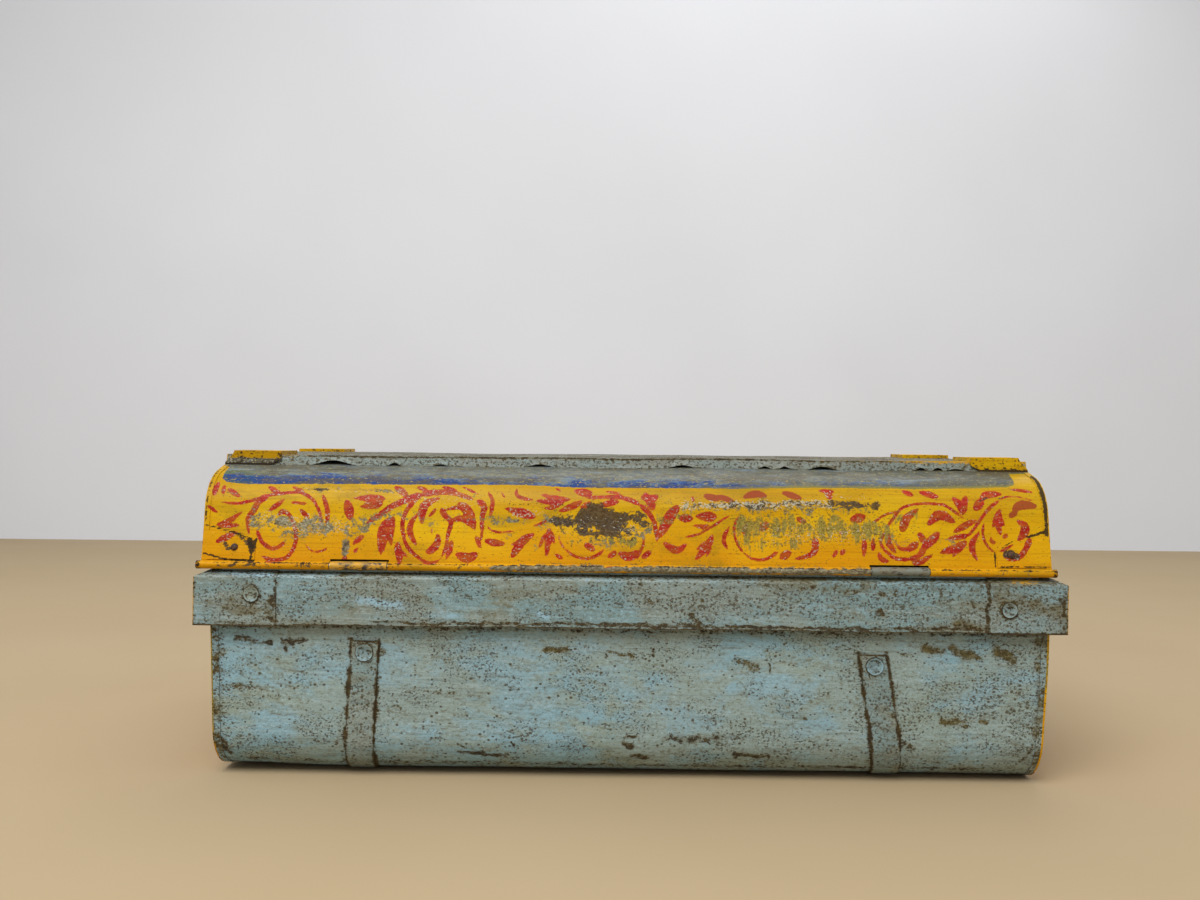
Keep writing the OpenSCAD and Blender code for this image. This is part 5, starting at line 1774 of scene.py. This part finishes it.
    def cap(self, face: str, side: str) -> None:
        """Builds a corner cap of the raised panel, knocked about and rusty at its edges, with a
        painted shadow at its foot.
        """
        node = f"lid_cap_{face}_{side}"
        low, high = (np.array(corner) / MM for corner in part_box(node))
        bm = merged_copy(node)
        xs, ys = (stations((low[axis] + 2, high[axis] - 2), 5.0) for axis in (0, 1))
        divide(bm, grid_cuts(xs, ys, stations((low[2] + 3, high[2] - 1.5), 3.5)))
        inner, outer = (high[0], low[0]) if side == "left" else (low[0], high[0])
        front_y = low[1] if face == "back" else high[1]
        inwards = 1.0 if side == "left" else -1.0
        foot = PROFILE.foot_z
        overpainted = (face, side) == ("back", "left")

        def values(points: np.ndarray) -> Values:
            """Works out the rust, the painted shadow along the foot, and the bare parts of the cap.
            """
            bared = overpainted & (points[:, 2] < high[2] - 5.5)
            found = dict(PLAIN_YELLOW, up=104.0 if overpainted else 50.0)
            found["strip"] = np.where(bared, 3.0, -9.0)
            found["brown"] = 0.75 * smooth_fall(np.abs(points[:, 0] - inner) / 26) * bared
            found["grey"] = np.where(bared, 0.75, 0.12)
            found["white"] = 0.5 * bared
            edges = [np.abs(points[:, i] - v[i]) for i in (0, 1) for v in (low, high)]
            near = np.min(edges, axis=0)
            # A dark line along the cap's foot: painted shadow under its lower edge.
            painted_foot_shadow = smooth_fall(np.abs(points[:, 2] - foot) / 2.2)
            found["rust_and_shadow"] = 0.35 * smooth_fall(near / 2.0) + 1.5 * painted_foot_shadow
            return found

        more = (
            Dent((outer, front_y, high[2]), (14, 60, 13), (9 * inwards, 0, 0)),
            Dent((inner, front_y, foot), (9, 30, 6), (-6 * inwards, 0, 1.5)),
            Dent(((inner + outer) / 2 + 6, front_y + 20, high[2]), (22, 22, 20), (0, 0, -0.8)),
        )
        name = f"worn_cap_{face}_{side}"
        fitting = Fitting(name, self.body, "yellow_paint", (node,), (CAP_YELLOW,))
        place_piece(bm, fitting, LID_WARP, more, values)

    def nails(self) -> None:
        """Builds the nails in the tabs."""
        fitting = Fitting("tab_nails", self.body, "rusted_iron", ("lid_tab_nails",), (IRON,))
        place_piece(merged_copy("lid_tab_nails"), fitting, LID_WARP)


CARRIED = {
    "hinge_leaf": HINGE,
    "lid_wire": WIRE,
    "hasp_pin": WIRE,
    "hinge_rivets": IRON,
    "staple": IRON,
    "handle": IRON,
    "hasp": IRON,
}


def dress_carried() -> None:
    """Gives every shown CAD node, whose shape stays, the first finish whose name it starts with."""
    for name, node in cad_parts.items():
        if node.hide_render:
            continue
        finish = next(material for start, material in CARRIED.items() if name.startswith(start))
        node.data.materials.clear()
        node.data.materials.append(finish)
        log.info("%s takes %s", name, finish.name)


@dataclass(frozen=True)
class Studio:
    """A plain pale floor and wall, and soft light."""

    size: float = 30.0
    wall_y: float = 2.0
    sky: str = "EAEEF6"
    world_light: float = 0.4

    def build(self) -> None:
        """Makes the floor, the wall, the world and the lamps."""
        level = Matrix.Identity(4)
        behind = Matrix.Translation((0, self.wall_y, self.size / 2))
        upright = behind @ Matrix.Rotation(math.pi / 2, 4, "X")
        self.sheet("floor", level, ("B09C7B", "A99472"), 3, 0.85)
        self.sheet("wall", upright, (self.sky, "DEE2E9"), 1.5, 0.9)
        self.world()
        self.lamp("key", (-0.6, -1.6, 2.4), 1.6, 66.0)
        self.lamp("fill", (2.4, -0.8, 2.0), 2.0, 8.0)
        self.lamp("back", (0.4, 1.3, 2.4), 2.0, 21.0)
        self.lamp("left", (-2.4, 0.2, 1.3), 1.6, 9.0)
        self.lamp("right", (2.4, 0.2, 1.3), 1.6, 6.0)

    def sheet(
        self, name: str, stand: Matrix, tones: tuple[str, str], scale: float, rough: float
    ) -> None:
        """Makes a large flat sheet round the trunk.

        Args:
            name: Its name.
            stand: How it is turned and moved from lying on the ground.
            tones: The two colours that it drifts between.
            scale: How quickly it does.
            rough: Its roughness.
        """
        bm = bmesh.new()
        bmesh.ops.create_grid(bm, x_segments=4, y_segments=4, size=self.size / 2, matrix=stand)
        mesh = bpy.data.meshes.new(name)
        bm.to_mesh(mesh)
        bm.free()
        r = Recipe(name)
        mesh.materials.append(r.done(r.blend(r.cloud(scale, (1, 1, 1), 2), *tones), rough))
        sheet = bpy.data.objects.new(name, mesh)
        bpy.context.scene.collection.objects.link(sheet)
        sheet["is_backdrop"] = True

    def world(self) -> None:
        """Makes the world: pale behind the object, and soft light on it."""
        world = bpy.data.worlds.new("studio")
        world.use_nodes = True
        bpy.context.scene.world = world
        tree = world.node_tree
        tree.nodes.clear()
        lit, seen, rays, both, mix, out = (tree.nodes.new(f"ShaderNode{kind}") for kind in (
            "Background", "Background", "LightPath", "Math", "MixShader", "OutputWorld"))
        lit.inputs["Color"].default_value = (1, 1, 1, 1)
        lit.inputs["Strength"].default_value = self.world_light
        seen.inputs["Color"].default_value = linear(self.sky)
        both.operation = "MAXIMUM"
        for source, target in (
            (rays.outputs["Is Camera Ray"], both.inputs[0]),
            (rays.outputs["Is Glossy Ray"], both.inputs[1]),
            (both.outputs[0], mix.inputs[0]),
            (lit.outputs[0], mix.inputs[1]),
            (seen.outputs[0], mix.inputs[2]),
            (mix.outputs[0], out.inputs[0]),
        ):
            tree.links.new(source, target)

    def lamp(self, name: str, place: tuple[float, float, float], size: float, power: float) -> None:
        """Hangs a soft square lamp that faces the trunk."""
        data = bpy.data.lights.new(name, "AREA")
        data.size = size
        data.energy = power
        lamp = bpy.data.objects.new(name, data)
        lamp.location = place
        aim = Vector((0, 0, 0.15)) - Vector(place)
        lamp.rotation_euler = aim.to_track_quat("-Z", "Y").to_euler()
        bpy.context.scene.collection.objects.link(lamp)


def main() -> None:
    """Builds the whole scene."""
    logging.basicConfig(level=logging.INFO, format="%(name)s: %(message)s")
    # Without a seed, the noise that bends the metal would differ from run to run.
    noise.seed_set(NOISE_SEED)
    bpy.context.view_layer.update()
    VIEW.build()
    Trunk().build()
    Lid().build()
    dress_carried()
    Studio().build()
    bpy.context.scene.view_settings.view_transform = "Standard"


if __name__ == "__main__":
    main()
